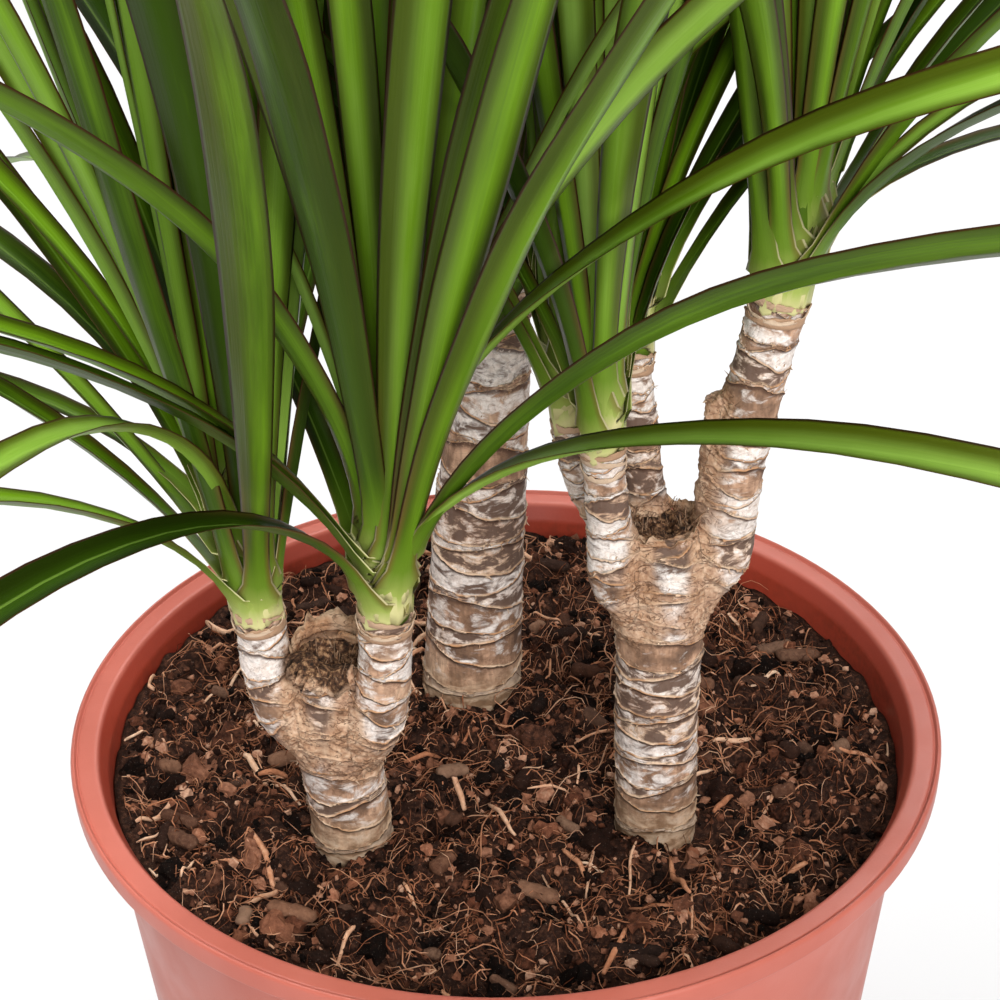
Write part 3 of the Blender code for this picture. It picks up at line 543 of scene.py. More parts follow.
def blade_line(head, blade):
    """Points along a blade's midrib: its rise eases from root to tip as share ** late."""
    height, azimuth, rise, tip_rise, late, sweep, _, length = blade
    foot = np.array(HEADS[head][0])
    turn = math.radians(azimuth)
    outward = np.array([math.cos(turn), math.sin(turn), 0.0])
    root = foot + head_axis(head) * height + outward * HEADS[head][2] * 0.9
    share = (np.arange(CURVE_STEPS) + 0.5) / CURVE_STEPS
    climb = np.radians(rise + (tip_rise - rise) * share ** late)
    way = np.radians(azimuth + sweep * share)
    steps = rows_of(np.cos(climb) * np.cos(way), np.cos(climb) * np.sin(way), np.sin(climb))
    walk = np.cumsum(steps, axis=0) * length / CURVE_STEPS
    return root + np.concatenate([np.zeros((1, 3)), walk])


def blade_frame(line, twist, share):
    """Point, direction across the blade and upper normal; the blade twists evenly to its tip."""
    share = np.asarray(share, float)
    place = share * CURVE_STEPS
    index = np.arange(CURVE_STEPS + 1)
    along = unit(row_values(place + 0.6, index, line) - row_values(place - 0.6, index, line))
    reach = line[-1] - line[0]
    side = np.array([-reach[1], reach[0], 0.0])
    across = unit(side - along * (along @ side)[:, None])
    normal = np.cross(along, across)
    roll = np.radians(twist * share)[:, None]
    return (row_values(place, index, line), across * np.cos(roll) + normal * np.sin(roll),
            normal * np.cos(roll) - across * np.sin(roll))


def prism(point, across, normal, width, rise, keel):
    """Four-sided tube through sections that narrow to a point at the last row.

    A section runs left edge, midrib above, right edge, keel below.  Upper and lower faces are split
    alike, so that a twisted blade doesn't cross itself.
    """
    half = (width / 2)[:, None] * across
    top = point + rise * normal
    rings = np.stack([top - half, top, top + half, point - keel[:, None] * normal], axis=1)
    count = len(point)
    verts = np.concatenate([rings[:-1].reshape(-1, 3), point[-1:]])
    faces = [(0, 1, 3), (1, 2, 3)]
    for i in range(count - 2):
        a, b = 4 * i, 4 * i + 4
        for j, k in ((0, 1), (2, 3)):
            faces += [(a + j, b + j, a + k), (a + k, b + j, b + k)]
        for j, k in ((1, 2), (3, 0)):
            faces += [(a + j, b + j, b + k), (a + j, b + k, a + k)]
    last, tip = 4 * (count - 2), 4 * (count - 1)
    faces += [(last + j, tip, last + (j + 1) % 4) for j in range(4)]
    return verts, faces


def blade_guard(line, twist, width):
    """A thicker copy of the blade, true curve and facets both, that others keep clear of."""
    share, wide = (np.array(column) for column in zip(*BLADE_SECTIONS))
    fine = np.linspace(0.0, 1.0, GUARD_STEPS)
    verts, faces = [], []
    for stops in (share, fine):
        point, across, normal = blade_frame(line, twist, stops)
        spread = np.interp(stops, share, wide) * width + 2 * GUARD_SIDE
        keel = np.full(len(stops), BLADE_KEEL + GUARD_BELOW)
        more, extra = prism(point, across, normal, spread, GUARD_ABOVE, keel)
        faces += [tuple(i + len(verts) for i in face) for face in extra]
        verts += [tuple(v) for v in more]
    return verts, faces


class Clearance:
    """What stands so far, with a box round each piece so that far ones are skipped."""

    def __init__(self):
        self.pieces = []

    def add(self, owner, verts, faces):
        """Note a piece and who owns it."""
        points = np.array(verts)
        tree = BVHTree.FromPolygons([tuple(v) for v in verts], faces)
        self.pieces.append((owner, points.min(axis=0), points.max(axis=0), tree))

    def hits(self, verts, faces, skipped=None, only=None):
        """True if the piece meets one that is not of the skipped owner, or one of the only owner's."""
        points = np.array(verts)
        low, high = points.min(axis=0), points.max(axis=0)
        tree = None
        for owner, box_low, box_high, other in self.pieces:
            if owner == skipped or (only and owner != only):
                continue
            if np.any(low > box_high) or np.any(high < box_low):
                continue
            tree = tree or BVHTree.FromPolygons([tuple(v) for v in verts], faces)
            if tree.overlap(other):
                return True
        return False


def outer_part(line, twist, width):
    """The blade past its root zone, which may not cross one of its own head."""
    length = float(np.linalg.norm(np.diff(line, axis=0), axis=1).sum())
    share = np.linspace(ROOT_FREE / length, 1.0, OUTER_STEPS)
    base, wide = (np.array(column) for column in zip(*BLADE_SECTIONS))
    point, across, normal = blade_frame(line, twist, share)
    spread = np.interp(share, base, wide) * width
    return prism(point, across, normal, spread, OUTER_RISE, np.full(len(share), BLADE_KEEL))


def nudges():
    """Ways to turn a blade aside, smallest first: (azimuth, rise, tip rise) in degrees."""
    near = [(0, 0, 0)]
    for step in (3, 6, 9, 13, 17, 22, 28, 35):
        for side in (1, -1):
            near += [(side * step, 0, 0), (side * step, 3, step), (side * step, 6, 2 * step)]
        near += [(0, 4, 2 * step), (0, -4, -step), (0, 8, 3 * step)]
    return [(turn + far, lift, tip_lift) for far in (0, 75, -75, 150, -150)
            for turn, lift, tip_lift in near]


def spiral_blades(head):
    """Blades by rule: up the shoot they stand steeper, and on the open side they hang out more."""
    _, _, _, count, length, _, open_side = HEADS[head]
    draw = random.Random("%s %d" % (head, HEAD_SEED))
    start = draw.uniform(0, 360)
    blades = []
    for i in range(count):
        age = 1.0 - i / (count - 1)
        azimuth = start + SPIRAL_STEP * i
        room = 0.5 + 0.5 * math.cos(math.radians(azimuth - open_side))
        hang = age * (0.35 + 0.65 * room)
        height = FIRST_BLADE + (LAST_BLADE - FIRST_BLADE) * (1.0 - age)
        rise = 87 - 24 * hang + draw.uniform(-3, 3)
        tip_rise = 82 - 105 * hang * room - 22 * hang + draw.uniform(-9, 9)
        late = draw.uniform(0.6, 1.0)
        sweep = draw.uniform(-9, 9)
        twist = draw.uniform(-40, 40)
        grown = min(1.0, 0.80 + 0.45 * age)
        reach = length * grown * draw.uniform(0.94, 1.04)
        root = (height, azimuth, min(rise, 88), tip_rise)
        blades.append(((*root, late, sweep, twist, reach), grown))
    return blades


def placed_blades(head):
    """The blades set one by one, with their heights in metres, all full grown."""
    return [((row[0] / 1000, *row[1:]), 1.0) for row in PLACED.get(head, ())]


def settle(head, blade, grown, clearance, own):
    """Turn a blade aside until it is clear of the rest; None where it can't be."""
    width = HEADS[head][5] * grown
    for turn, lift, tip_lift in nudges():
        trial = (blade[0], blade[1] + turn, min(blade[2] + lift, 88.5),
                 min(blade[3] + tip_lift, 88), *blade[4:])
        line = blade_line(head, trial)
        guard = blade_guard(line, trial[6], width)
        outer = outer_part(line, trial[6], width)
        if clearance.hits(*guard, skipped=head) or own.hits(*outer, only=head):
            continue
        clearance.add(head, *guard)
        own.add(head, *outer)
        return trial, line, width
    return None


def core_rows(head):
    """Rows of the green shoot that a head's blades grow from, standing just over its stem."""
    foot, axis, radius = np.array(HEADS[head][0]), head_axis(head), HEADS[head][2]
    return [(*(foot + axis * SHOOT_HEIGHT * up), radius * wide)
            for up, wide in ((0.0, 1.0), (0.25, 1.02), (0.7, 0.72), (1.0, 0.30))]


def round_guard(rows, spare):
    """A plain faceted tube of level rings through rows of (x, y, z, radius), spare thicker."""
    rows = np.array(rows, float)
    angle = even_turn(GUARD_SIDES)
    ring = rows_of(np.cos(angle), np.sin(angle), 0.0)
    verts = (rows[:, None, :3] + ring * (rows[:, 3:] + spare)[:, None]).reshape(-1, 3)
    faces = []
    for i in range(len(rows) - 1):
        for j in range(GUARD_SIDES):
            a, b = i * GUARD_SIDES + j, i * GUARD_SIDES + (j + 1) % GUARD_SIDES
            faces.append((a, b, b + GUARD_SIDES, a + GUARD_SIDES))
    return verts, faces


def lay_out_blades():
    """Settle every blade: the placed ones first, then the spiral ones, the heads by turns."""
    clearance, own = Clearance(), Clearance()
    clearance.add("pot", *round_guard(((0, 0, SOIL_Z - 0.01, RIM_RADIUS),
                                       (0, 0, POT_HEIGHT + 0.002, RIM_RADIUS)), 0.001))
    for name, (rows, heads) in CANE_STEMS.items():
        clearance.add(name, *round_guard(rows, CANE_SPARE))
        for head in heads:
            clearance.add("stem", *round_guard(stem_rows(head), CANE_SPARE))
    for head in HEADS:
        clearance.add(head, *round_guard(core_rows(head), CANE_SPARE))
    order = [(head, blade) for head in HEADS for blade in placed_blades(head)]
    spirals = {head: spiral_blades(head) for head in HEADS}
    for turn in range(max(len(blades) for blades in spirals.values())):
        order += [(head, spirals[head][turn]) for head in reversed(HEADS) if turn < len(spirals[head])]
    settled = {head: [] for head in HEADS}
    for head, (blade, grown) in order:
        found = settle(head, blade, grown, clearance, own)
        if found:
            settled[head].append(found)
    for head, blade, grown in [(head, *row) for head in HEADS for row in slim_blades(head)]:
        found = settle(head, blade, grown, clearance, own)
        if found:
            settled[head].append(found)
    return settled


def rounded(corners, reach, steps):
    """A polyline with each corner eased by a parabola that starts at most reach before it."""
    corners = np.array(corners, float)
    out = [corners[:1]]
    share = np.linspace(0.0, 1.0, steps)[:, None]
    for before, corner, after in zip(corners[:-2], corners[1:-1], corners[2:]):
        near = [corner + (end - corner) * min(reach / np.linalg.norm(end - corner), 0.45)
                for end in (before, after)]
        out.append((1 - share) ** 2 * near[0] + 2 * share * (1 - share) * corner + share ** 2 * near[1])
    return np.concatenate(out + [corners[-1:]])


def pot_profile():
    """Section of the pot: along the floor, up the inside, over the rim and down the outside."""
    under = POT_HEIGHT - 0.0024
    return [
        (0.0, FLOOR), (inner_radius(FLOOR) - 0.002, FLOOR),
        (inner_radius(FLOOR + 0.002), FLOOR + 0.002),
        (inner_radius(POT_HEIGHT - 0.006), POT_HEIGHT - 0.006),
        (LIP_RADIUS - 0.0008, POT_HEIGHT - 0.0016), (LIP_RADIUS, POT_HEIGHT - 0.0008),
        (RIM_RADIUS - 0.0022, POT_HEIGHT - 0.0009), (RIM_RADIUS - 0.0019, POT_HEIGHT - 0.0013),
        (RIM_RADIUS - 0.0016, POT_HEIGHT - 0.0012), (RIM_RADIUS - 0.0010, POT_HEIGHT),
        (RIM_RADIUS, POT_HEIGHT - 0.0008),
        (RIM_RADIUS - 0.0003, POT_HEIGHT - SKIRT_DROP), (RIM_RADIUS - 0.0016, POT_HEIGHT - SKIRT_DROP),
        (RIM_RADIUS - 0.0018, under), (WALL_TOP_RADIUS + 0.0004, under),
        (WALL_TOP_RADIUS, under - 0.0010), (WALL_TOP_RADIUS - 0.0008, SHOULDER_Z + 0.0008),
        (wall_radius(SHOULDER_Z), SHOULDER_Z), (wall_radius(0.003), 0.003),
        (BASE_RADIUS - 0.0015, 0.0), (0.0, 0.0),
    ]


def pot_skin():
    """The pot turned round Z from its eased section; grime rises on the inside wall near the soil, and the
    inside below the rim's band is marked for painted shade.
    """
    section = rounded(pot_profile(), 0.0009, 5)[1:-1]
    turn = even_turn(POT_FACETS)
    ring = rows_of(np.cos(turn), -np.sin(turn))
    points = np.concatenate([ring[None] * section[:, None, :1],
                             np.broadcast_to(section[:, None, 1:], (len(section), POT_FACETS, 1))], axis=2)
    inside = np.arange(len(section)) < len(section) * 0.25
    level = points[..., 2]
    grime = np.where(inside[:, None], 1 - eased(level, SOIL_Z - 0.001, POT_HEIGHT - 0.003), 0.0)
    grime = grime * (0.6 + 0.4 * ripple(points, 0.011, 3, 3))
    # Painted shade: a mask that is 1 on the inside wall and floor below the rim's band, which darkens them
    shade = np.where(inside[:, None], 1 - eased(level, POT_HEIGHT - 0.0022, POT_HEIGHT - 0.0009), 0.0)
    values = rows_of(np.clip(grime, 0, 1), shade, 0.0, 1.0)
    skin = Skin()
    skin.add(np.concatenate([points.reshape(-1, 3), [[0, 0, FLOOR], [0, 0, 0]]]),
             tube_triangles(len(section), POT_FACETS),
             np.concatenate([values.reshape(-1, 4), [[0, 0, 0, 1], [0, 0, 0, 1]]]))
    return skin


def drill(pot):
    """Cut the ring of drain holes through the pot's floor and keep the result as the mesh."""
    shape = bmesh.new()
    for k in range(DRAIN_COUNT):
        angle = 2 * math.pi * (k + 0.5) / DRAIN_COUNT
        spot = Matrix.Translation((DRAIN_RING * math.cos(angle), DRAIN_RING * math.sin(angle), 0.0))
        bmesh.ops.create_cone(shape, cap_ends=True, segments=DRAIN_SIDES, radius1=DRAIN_RADIUS,
                              radius2=DRAIN_RADIUS, depth=0.02, matrix=spot)
    mesh = bpy.data.meshes.new("drain_drills")
    shape.to_mesh(mesh)
    shape.free()
    drills = bpy.data.objects.new("drain_drills", mesh)
    bpy.context.scene.collection.objects.link(drills)
    cut = pot.modifiers.new("drain", "BOOLEAN")
    cut.operation, cut.object, cut.solver = "DIFFERENCE", drills, "EXACT"
    graph = bpy.context.evaluated_depsgraph_get()
    finished = bpy.data.meshes.new_from_object(pot.evaluated_get(graph))
    pot.modifiers.clear()
    pot.data = finished
    bpy.data.objects.remove(drills, do_unlink=True)


def plastic_finish(settings):
    """Satin moulded plastic: faint mottle, fine orange peel, soil dust and painted shade on the inside wall.
    """
    made = Finish("pot_plastic", settings.roughness, 0.45)
    # The grime attribute holds the soil dust mask, then the mask of painted shade for the inside wall
    grime, shade = made.values("grime")[:2]
    mottle = made.noise(22.0, 4.0, 0.6)
    body = made.mix(made.span(mottle, 0.3, 0.7), tuple(settings.colour), tuple(settings.shade))
    dust = made.times(grime, made.span(made.noise(420.0, 4.0, 0.7), 0.38, 0.62))
    # Painted shade: the inside wall is darkened towards a deep brick red
    body = made.mix(made.times(shade, 0.88), body, linear(150, 50, 30))
    made.colour(made.mix(made.times(dust, 0.85), body, linear(58, 38, 28)))
    made.roughness(made.span(made.noise(60.0, 3.0), 0.3, 0.7, settings.roughness - 0.05,
                             settings.roughness + 0.08))
    made.bump(made.noise(1500.0, 2.0, 0.5), 0.00012, 0.25)
    return made.material


def cane_distance(x, y):
    """Distance in plan from the nearest cane's skin where it stands in the soil."""
    gaps = [np.hypot(x - rows[1][0], y - rows[1][1]) - rows[1][3] for rows, _ in CANE_STEMS.values()]
    return np.minimum.reduce(gaps)


def ground(x, y):
    """Height of the finished soil: the solid's waves plus clods, packed a little lower at the canes."""
    flat = rows_of(x, y, 0.0)
    clods = 0.0030 * ripple(flat, 0.011, 5, 2) + 0.0019 * ripple(flat, 0.0050, 9, 2)
    pits = -0.0022 * eased(ripple(flat, 0.017, 21), 0.25, 0.8)
    edge = 1 - eased(np.hypot(x, y), 0.098, 0.109)
    foot = -0.0022 * (1 - eased(cane_distance(x, y), 0.0, 0.010))
    return soil_height(x, y) + (clods + pits) * (0.35 + 0.65 * edge) + foot - 0.0015 * (1 - edge)


def disc_map(count):
    """A square grid of points carried onto the unit disc without a pole, ring by ring."""
    line = np.linspace(-1, 1, count)
    u, v = np.meshgrid(line, line, indexing="ij")
    wide = np.abs(u) > np.abs(v)
    radius = np.where(wide, u, v)
    with np.errstate(divide="ignore", invalid="ignore"):
        turn = np.where(wide, np.pi / 4 * v / u, np.pi / 2 - np.pi / 4 * u / v)
    turn = np.nan_to_num(turn)
    return radius * np.cos(turn), radius * np.sin(turn)


def soil_skin():
    """The soil body: a fine clodded top, a wall along the pot and a flat underside."""
    x, y = disc_map(SOIL_GRID)
    reach = inner_radius(SOIL_Z) - SOIL_CLEAR
    x, y = x * reach, y * reach
    z = ground(x, y)
    rough = rows_of(x, y, z)
    edge = 1 - eased(np.hypot(x, y), 0.100, 0.108)
    z = z + 0.0007 * ripple(rough, 0.0021, 31, 2) * edge
    numbers = np.arange(SOIL_GRID * SOIL_GRID).reshape(SOIL_GRID, SOIL_GRID)
    rim = np.concatenate([numbers[:-1, 0], numbers[-1, :-1], numbers[:0:-1, -1], numbers[0, :0:-1]])
    top = rows_of(x, y, z).reshape(-1, 3)
    turn = np.arctan2(top[rim, 1], top[rim, 0])
    foot = FLOOR + GAP
    rings = []
    for level, inset in ((SOIL_Z - 0.012, 0.0), (foot + 0.003, 0.0), (foot, 0.0025)):
        radius = inner_radius(level) - SOIL_CLEAR - inset
        rings.append(rows_of(radius * np.cos(turn), radius * np.sin(turn), level))
    sides = []
    ring = rim
    for k in range(3):
        lower = len(top) + k * len(rim) + np.arange(len(rim))
        after, below = np.roll(ring, -1), np.roll(lower, -1)
        sides += [rows_of(ring, lower, after), rows_of(after, lower, below)]
        ring = lower
    points = np.concatenate([top, *rings, [[0, 0, foot]]])
    triangles = np.concatenate([grid_triangles(SOIL_GRID, SOIL_GRID, False), *sides,
                                fan(ring, len(points) - 1, True)])
    corner = points[triangles[0]]
    if np.cross(corner[1] - corner[0], corner[2] - corner[0])[2] < 0:
        triangles[:2 * (SOIL_GRID - 1) ** 2] = triangles[:2 * (SOIL_GRID - 1) ** 2, ::-1]
    skin = Skin()
    skin.add(points, triangles, (0.35, 0, 0, 1))
    return skin


def free_spots(draw, count, reach, clear):
    """Random places on the soil, clear of the canes."""
    x, y = np.zeros(0), np.zeros(0)
    while len(x) < count:
        radius = reach * np.sqrt(draw.random(count * 2))
        turn = draw.random(count * 2) * 2 * np.pi
        a, b = radius * np.cos(turn), radius * np.sin(turn)
        kept = cane_distance(a, b) > clear
        x, y = np.concatenate([x, a[kept]]), np.concatenate([y, b[kept]])
    return x[:count], y[:count]


def turns(draw, count, tilt):
    """Random rotations, one matrix for each item: any heading, tipped by up to tilt radians."""
    head = draw.random(count) * 2 * np.pi
    lean = (draw.random(count) - 0.5) * 2 * tilt
    roll = (draw.random(count) - 0.5) * 2 * tilt

    def matrix(*cells):
        return rows_of(*cells).reshape(count, 3, 3)

    about_z = matrix(np.cos(head), -np.sin(head), 0.0, np.sin(head), np.cos(head), 0.0, 0.0, 0.0, 1.0)
    about_y = matrix(np.cos(lean), 0.0, np.sin(lean), 0.0, 1.0, 0.0, -np.sin(lean), 0.0, np.cos(lean))
    about_x = matrix(1.0, 0.0, 0.0, 0.0, np.cos(roll), -np.sin(roll), 0.0, np.sin(roll), np.cos(roll))
    return about_z @ about_y @ about_x


def pebble(levels):
    """Points and triangles of a unit ball of even triangles."""
    shape = bmesh.new()
    bmesh.ops.create_icosphere(shape, subdivisions=levels, radius=1.0)
    return mesh_arrays(shape)


def scatter_lumps(skin, count, levels, sizes, sink, seed, clear):
    """Crumbs of peat: balls with each corner pushed in or out, squashed and half sunk in the soil."""
    draw = np.random.default_rng(seed)
    ball, triangles = pebble(levels)
    x, y = free_spots(draw, count, STREWN_REACH, clear)
    size = sizes[0] * (sizes[1] / sizes[0]) ** (draw.random(count) ** 2.2)
    squash = 0.6 + 0.5 * draw.random((count, 1, 3))
    lumps = ball[None] * (0.55 + 0.8 * draw.random((count, len(ball), 1))) * squash
    lumps = (lumps * size[:, None, None]) @ turns(draw, count, 1.5).transpose(0, 2, 1)
    centre = rows_of(x, y, ground(x, y) + size * sink)
    tone = draw.random(count) ** 1.5 * np.clip(1.15 - 90 * size, 0.5, 1.0)
    skin.add_many(lumps + centre[:, None], triangles,
                  rows_of(tone, 0.0, draw.random(count), 1.0)[:, None])


def sweep(path, side, lift, radius, sides):
    """Many thin closed tubes at once: path is (items, stations, 3), radius (items, stations).

    Each ring lies in the plane of side and lift; the two ends are pinched to a point.
    """
    items, stations = path.shape[:2]
    points = path[:, :, None] + rings_in(side, lift, sides) * radius[:, :, None, None]
    points = points.reshape(items, stations * sides, 3)
    return np.concatenate([points, path[:, :1], path[:, -1:]], axis=1), tube_triangles(stations, sides)


def scatter_fibres(skin, count, lengths, radii, arch, curl, stations, sides, seed, tone_range):
    """Fibres and twigs lying on the soil: the heading wanders and the middle or an end lifts off."""
    draw = np.random.default_rng(seed)
    x, y = free_spots(draw, count, FIBRE_REACH, 0.0015)
    share = np.linspace(0, 1, stations)
    length = lengths[0] + (lengths[1] - lengths[0]) * draw.random(count) ** 2
    heading = draw.random((count, 1)) * 2 * np.pi
    bend = (draw.random((count, 1)) - 0.5) * 2 * curl
    wave = (draw.random((count, 1)) - 0.5) * curl
    way = heading + bend * share + wave * np.sin(share * 7 + heading)
    step = length[:, None] / (stations - 1)
    px = x[:, None] + np.cumsum(np.cos(way) * step, axis=1)
    py = y[:, None] + np.cumsum(np.sin(way) * step, axis=1)
    reach = np.hypot(px, py)
    pull = np.minimum(1.0, STREWN_REACH / reach)
    px, py = px * pull, py * pull
    hump = np.sin(np.pi * share) * (draw.random((count, 1)) ** 2) * arch
    rise = share * np.where(draw.random((count, 1)) < 0.18, arch * 1.6, 0.0)
    radius = radii[0] + (radii[1] - radii[0]) * draw.random((count, 1)) ** 2
    pz = ground(px, py) + hump + rise + radius * 0.6
    path = rows_of(px, py, pz)
    side = rows_of(-np.sin(way), np.cos(way), 0.0)
    lift = np.broadcast_to(np.array([0.0, 0.0, 1.0]), side.shape)
    thick = radius * (0.55 + 0.45 * np.sin(np.pi * np.clip(share * 0.9 + 0.08, 0, 1)))
    points, triangles = sweep(path, side, lift, thick, sides)
    tone = tone_range[0] + (tone_range[1] - tone_range[0]) * draw.random(count)
    skin.add_many(points, triangles, rows_of(tone, 1.0, draw.random(count), 1.0)[:, None])


def chip_rows():
    """Place, size and turn of the solid's bark chips, by the same draws."""
    draw = random.Random(CHIP_SEED)
    rows = []
    while len(rows) < CHIP_COUNT:
        radius = CHIP_REACH * math.sqrt(draw.random())
        angle = draw.uniform(0, 2 * math.pi)
        x, y = radius * math.cos(angle), radius * math.sin(angle)
        size = (draw.uniform(0.008, 0.015), draw.uniform(0.003, 0.006), draw.uniform(0.002, 0.0035))
        turn = (draw.uniform(-0.3, 0.3), draw.uniform(-0.3, 0.3), draw.uniform(0, math.pi))
        if min(math.hypot(x - row[0][0], y - row[0][1]) for row, _ in CANE_STEMS.values()) < 0.024:
            continue
        rows.append((x, y, *size, *turn))
    return np.array(rows)


def scatter_chips(skin, more, seed):
    """Bark chips: rounded rods with cross wrinkles and blunt ragged ends, the solid's and a few more."""
    draw = np.random.default_rng(seed)
    rows = chip_rows()
    x, y = free_spots(draw, more, CHIP_REACH, 0.008)
    extra = rows_of(x, y, 0.005 + 0.007 * draw.random(more), 0.002 + 0.003 * draw.random(more),
                    0.0018 + 0.0018 * draw.random(more))
    extra = np.concatenate([extra, (draw.random((more, 2)) - 0.5) * 0.7,
                            draw.random((more, 1)) * np.pi], axis=1)
    rows = np.concatenate([rows, extra])
    count = len(rows)
    share = np.linspace(0, 1, CHIP_RINGS)
    end = np.abs(2 * share - 1)
    outline = np.sqrt(np.clip(1 - end ** 7, 0, 1)) * 0.92 + 0.06
    turn = even_turn(CHIP_SIDES)
    seeds = draw.random((count, 1, 1)) * 50
    place_x = (share[:, None] * 9 + 0 * turn)[None] + seeds
    shape = rows_of(place_x, np.cos(turn), np.sin(turn))
    knobs = 1 + 0.14 * ripple(shape, 0.7, 3, 3) + 0.06 * np.sin(place_x * 5.0)
    axis_x = (share - 0.5)[None, :, None] * rows[:, None, None, 2]
    bend = (draw.random((count, 1, 1)) - 0.5) * 0.35 * (2 * share[:, None] - 1) ** 2
    radius = outline[:, None] * knobs
    local = rows_of(axis_x, (np.cos(turn) * radius * 0.5 + bend) * rows[:, None, None, 3] * 1.05,
                    np.sin(turn) * radius * 0.5 * rows[:, None, None, 4] * 1.25)
    lean, tip, head = rows[:, 5], rows[:, 6], rows[:, 7]
    spin = np.array([np.array(Matrix.Rotation(h, 3, "Z") @ Matrix.Rotation(t, 3, "Y")
                              @ Matrix.Rotation(l, 3, "X")) for l, t, h in zip(lean, tip, head)])
    base = rows_of(rows[:, 0], rows[:, 1], ground(rows[:, 0], rows[:, 1]) + rows[:, 4] * 0.35)
    points = local.reshape(count, -1, 3) @ spin.transpose(0, 2, 1) + base[:, None]
    ends = points.reshape(count, CHIP_RINGS, CHIP_SIDES, 3)
    points = np.concatenate([points, ends[:, :1].mean(axis=2), ends[:, -1:].mean(axis=2)], axis=1)
    tone = draw.random(count)
    skin.add_many(points, tube_triangles(CHIP_RINGS, CHIP_SIDES),
                  rows_of(tone, 0.5, draw.random(count), 1.0)[:, None])


def earth_finish(name, settings, lights):
    """Peat, crumbs, fibres and chips: dark to pale brown by each item's own tone, with fine mottling."""
    made = Finish(name, 0.95, 0.05)
    tone, _, other, _ = made.values("grain")
    cloud = made.noise(620.0, 5.0, 0.70)
    share = made.math("ADD", tone, made.times(made.minus(cloud, 0.5), 0.7), clamp=True)
    base = made.ramp(share, *lights)
    specks = made.span(made.noise(2600.0, 2.0, 0.6), 0.66, 0.74)
    warm = made.mix(made.times(other, 0.5), base, tuple(settings.warm), "MULTIPLY")
    made.colour(made.mix(made.times(specks, 0.35), warm, linear(178, 158, 146)))
    made.roughness(made.span(cloud, 0.3, 0.8, 0.70, 1.0))
    made.bump(made.noise(1300.0, 4.0, 0.75), 0.0006, 0.9)
    return made.material


def even_rows(rows, pitch, soften):
    """Rows of (x, y, z, radius) at an even pitch along the given ones, their corners averaged away."""
    rows = np.array(rows, float)
    length = np.concatenate([[0.0], np.cumsum(np.linalg.norm(np.diff(rows[:, :3], axis=0), axis=1))])
    even = row_values(np.linspace(0.0, length[-1], int(length[-1] / pitch) + 2), length, rows)
    reach = min(int(soften / pitch), len(even) - 1)
    weight = np.hanning(2 * reach + 3)[1:-1]
    padded = np.concatenate([2 * even[0] - even[reach:0:-1], even, 2 * even[-1] - even[-2:-reach - 2:-1]])
    return rows_of(*(np.convolve(padded[:, k], weight / weight.sum(), "valid") for k in range(4)))


def axes_along(line):
    """Unit directions along a line of points and two square to it, the second near +X."""
    along = unit(np.gradient(line, axis=0))
    right = unit(np.array([1.0, 0.0, 0.0]) - along * along[..., :1])
    return along, right, np.cross(along, right)


class Limb:
    """A trunk or stem as a soft-cornered rod: it tells how far points are from its skin, and where."""

    def __init__(self, rows, seed, pitch, relief=1.0):
        self.rows = even_rows(rows, LIMB_STEP, LIMB_EASE)
        self.along, self.right, self.back = axes_along(self.rows[:, :3])
        step = np.linalg.norm(np.diff(self.rows[:, :3], axis=0), axis=1)
        self.length = np.concatenate([[0.0], np.cumsum(step)])
        self.seed, self.pitch, self.relief = seed, pitch, relief

    def locate(self, points):
        """Signed distance from the skin, distance along the limb and angle round it."""
        near = np.empty(len(points), np.int64)
        line = self.rows[:, :3]
        square = np.sum(line * line, axis=1)
        for start in range(0, len(points), AT_ONCE):
            part = points[start:start + AT_ONCE]
            near[start:start + AT_ONCE] = np.argmin(square - 2 * part @ line.T, axis=1)
        offset = points - line[near]
        ahead = np.sum(offset * self.along[near], axis=1)
        beyond = np.where((near == 0) & (ahead < 0), -ahead, 0.0)
        beyond = np.where((near == len(line) - 1) & (ahead > 0), ahead, beyond)
        flat = offset - ahead[:, None] * self.along[near]
        over = np.linalg.norm(flat, axis=1) - self.rows[near, 3]
        inner = np.minimum(np.maximum(over, beyond - 0.0001), 0.0)
        distance = inner + np.hypot(np.maximum(over, 0.0), beyond)
        turn = np.arctan2(np.sum(flat * self.back[near], axis=1), np.sum(flat * self.right[near], axis=1))
        return distance, self.length[near] + np.where(beyond > 0, 0.0, ahead), turn

    def tube(self, sides):
        """A plain closed tube over the limb, as points and triangles."""
        picked = np.unique(np.linspace(0, len(self.rows) - 1, max(8, len(self.rows) // 3)).astype(int))
        ring = rings_in(self.right[picked], self.back[picked], sides)
        points = self.rows[picked, None, :3] + ring * self.rows[picked, None, 3:]
        return (np.concatenate([points.reshape(-1, 3), self.rows[[0, -1], :3]]),
                tube_triangles(len(picked), sides))

    def scars(self, along, turn):
        """Signed gap to the nearest leaf scar, share of the way up its zone, its number and its height.

        Scar k runs round at about k * pitch, tipped towards k * 137.5 degrees, so neighbours cross.
        """
        first = np.floor(along / self.pitch).astype(np.int64)
        above, below = np.full(len(along), 9.0), np.full(len(along), 9.0)
        zone = first - 3
        wander = rows_of(np.cos(turn) * 0.02, np.sin(turn) * 0.02, along)
        wobble = 0.0007 * ripple(wander, 0.009, self.seed, 2)
        for shift in range(-3, 5):
            k = first + shift
            tip = SCAR_TIP * (0.4 + 0.6 * hashed(k, k * 0 + self.seed, k * 0)) * (self.pitch / 0.0046)
            late = 0.45 * self.pitch * (hashed(k, k * 0 + self.seed, k * 0 + 5) - 0.5)
            aside = turn - np.radians(SPIRAL_STEP) * k
            line = (k + 0.5) * self.pitch + late + tip * (np.cos(aside) + 0.28 * np.cos(2 * aside)) + wobble
            gap = along - line
            zone = zone + (gap > 0)
            below = np.where(gap > 0, np.minimum(below, gap), below)
            above = np.where(gap <= 0, np.minimum(above, -gap), above)
        return np.where(below < above, below, -above), below / (below + above), zone, below + above


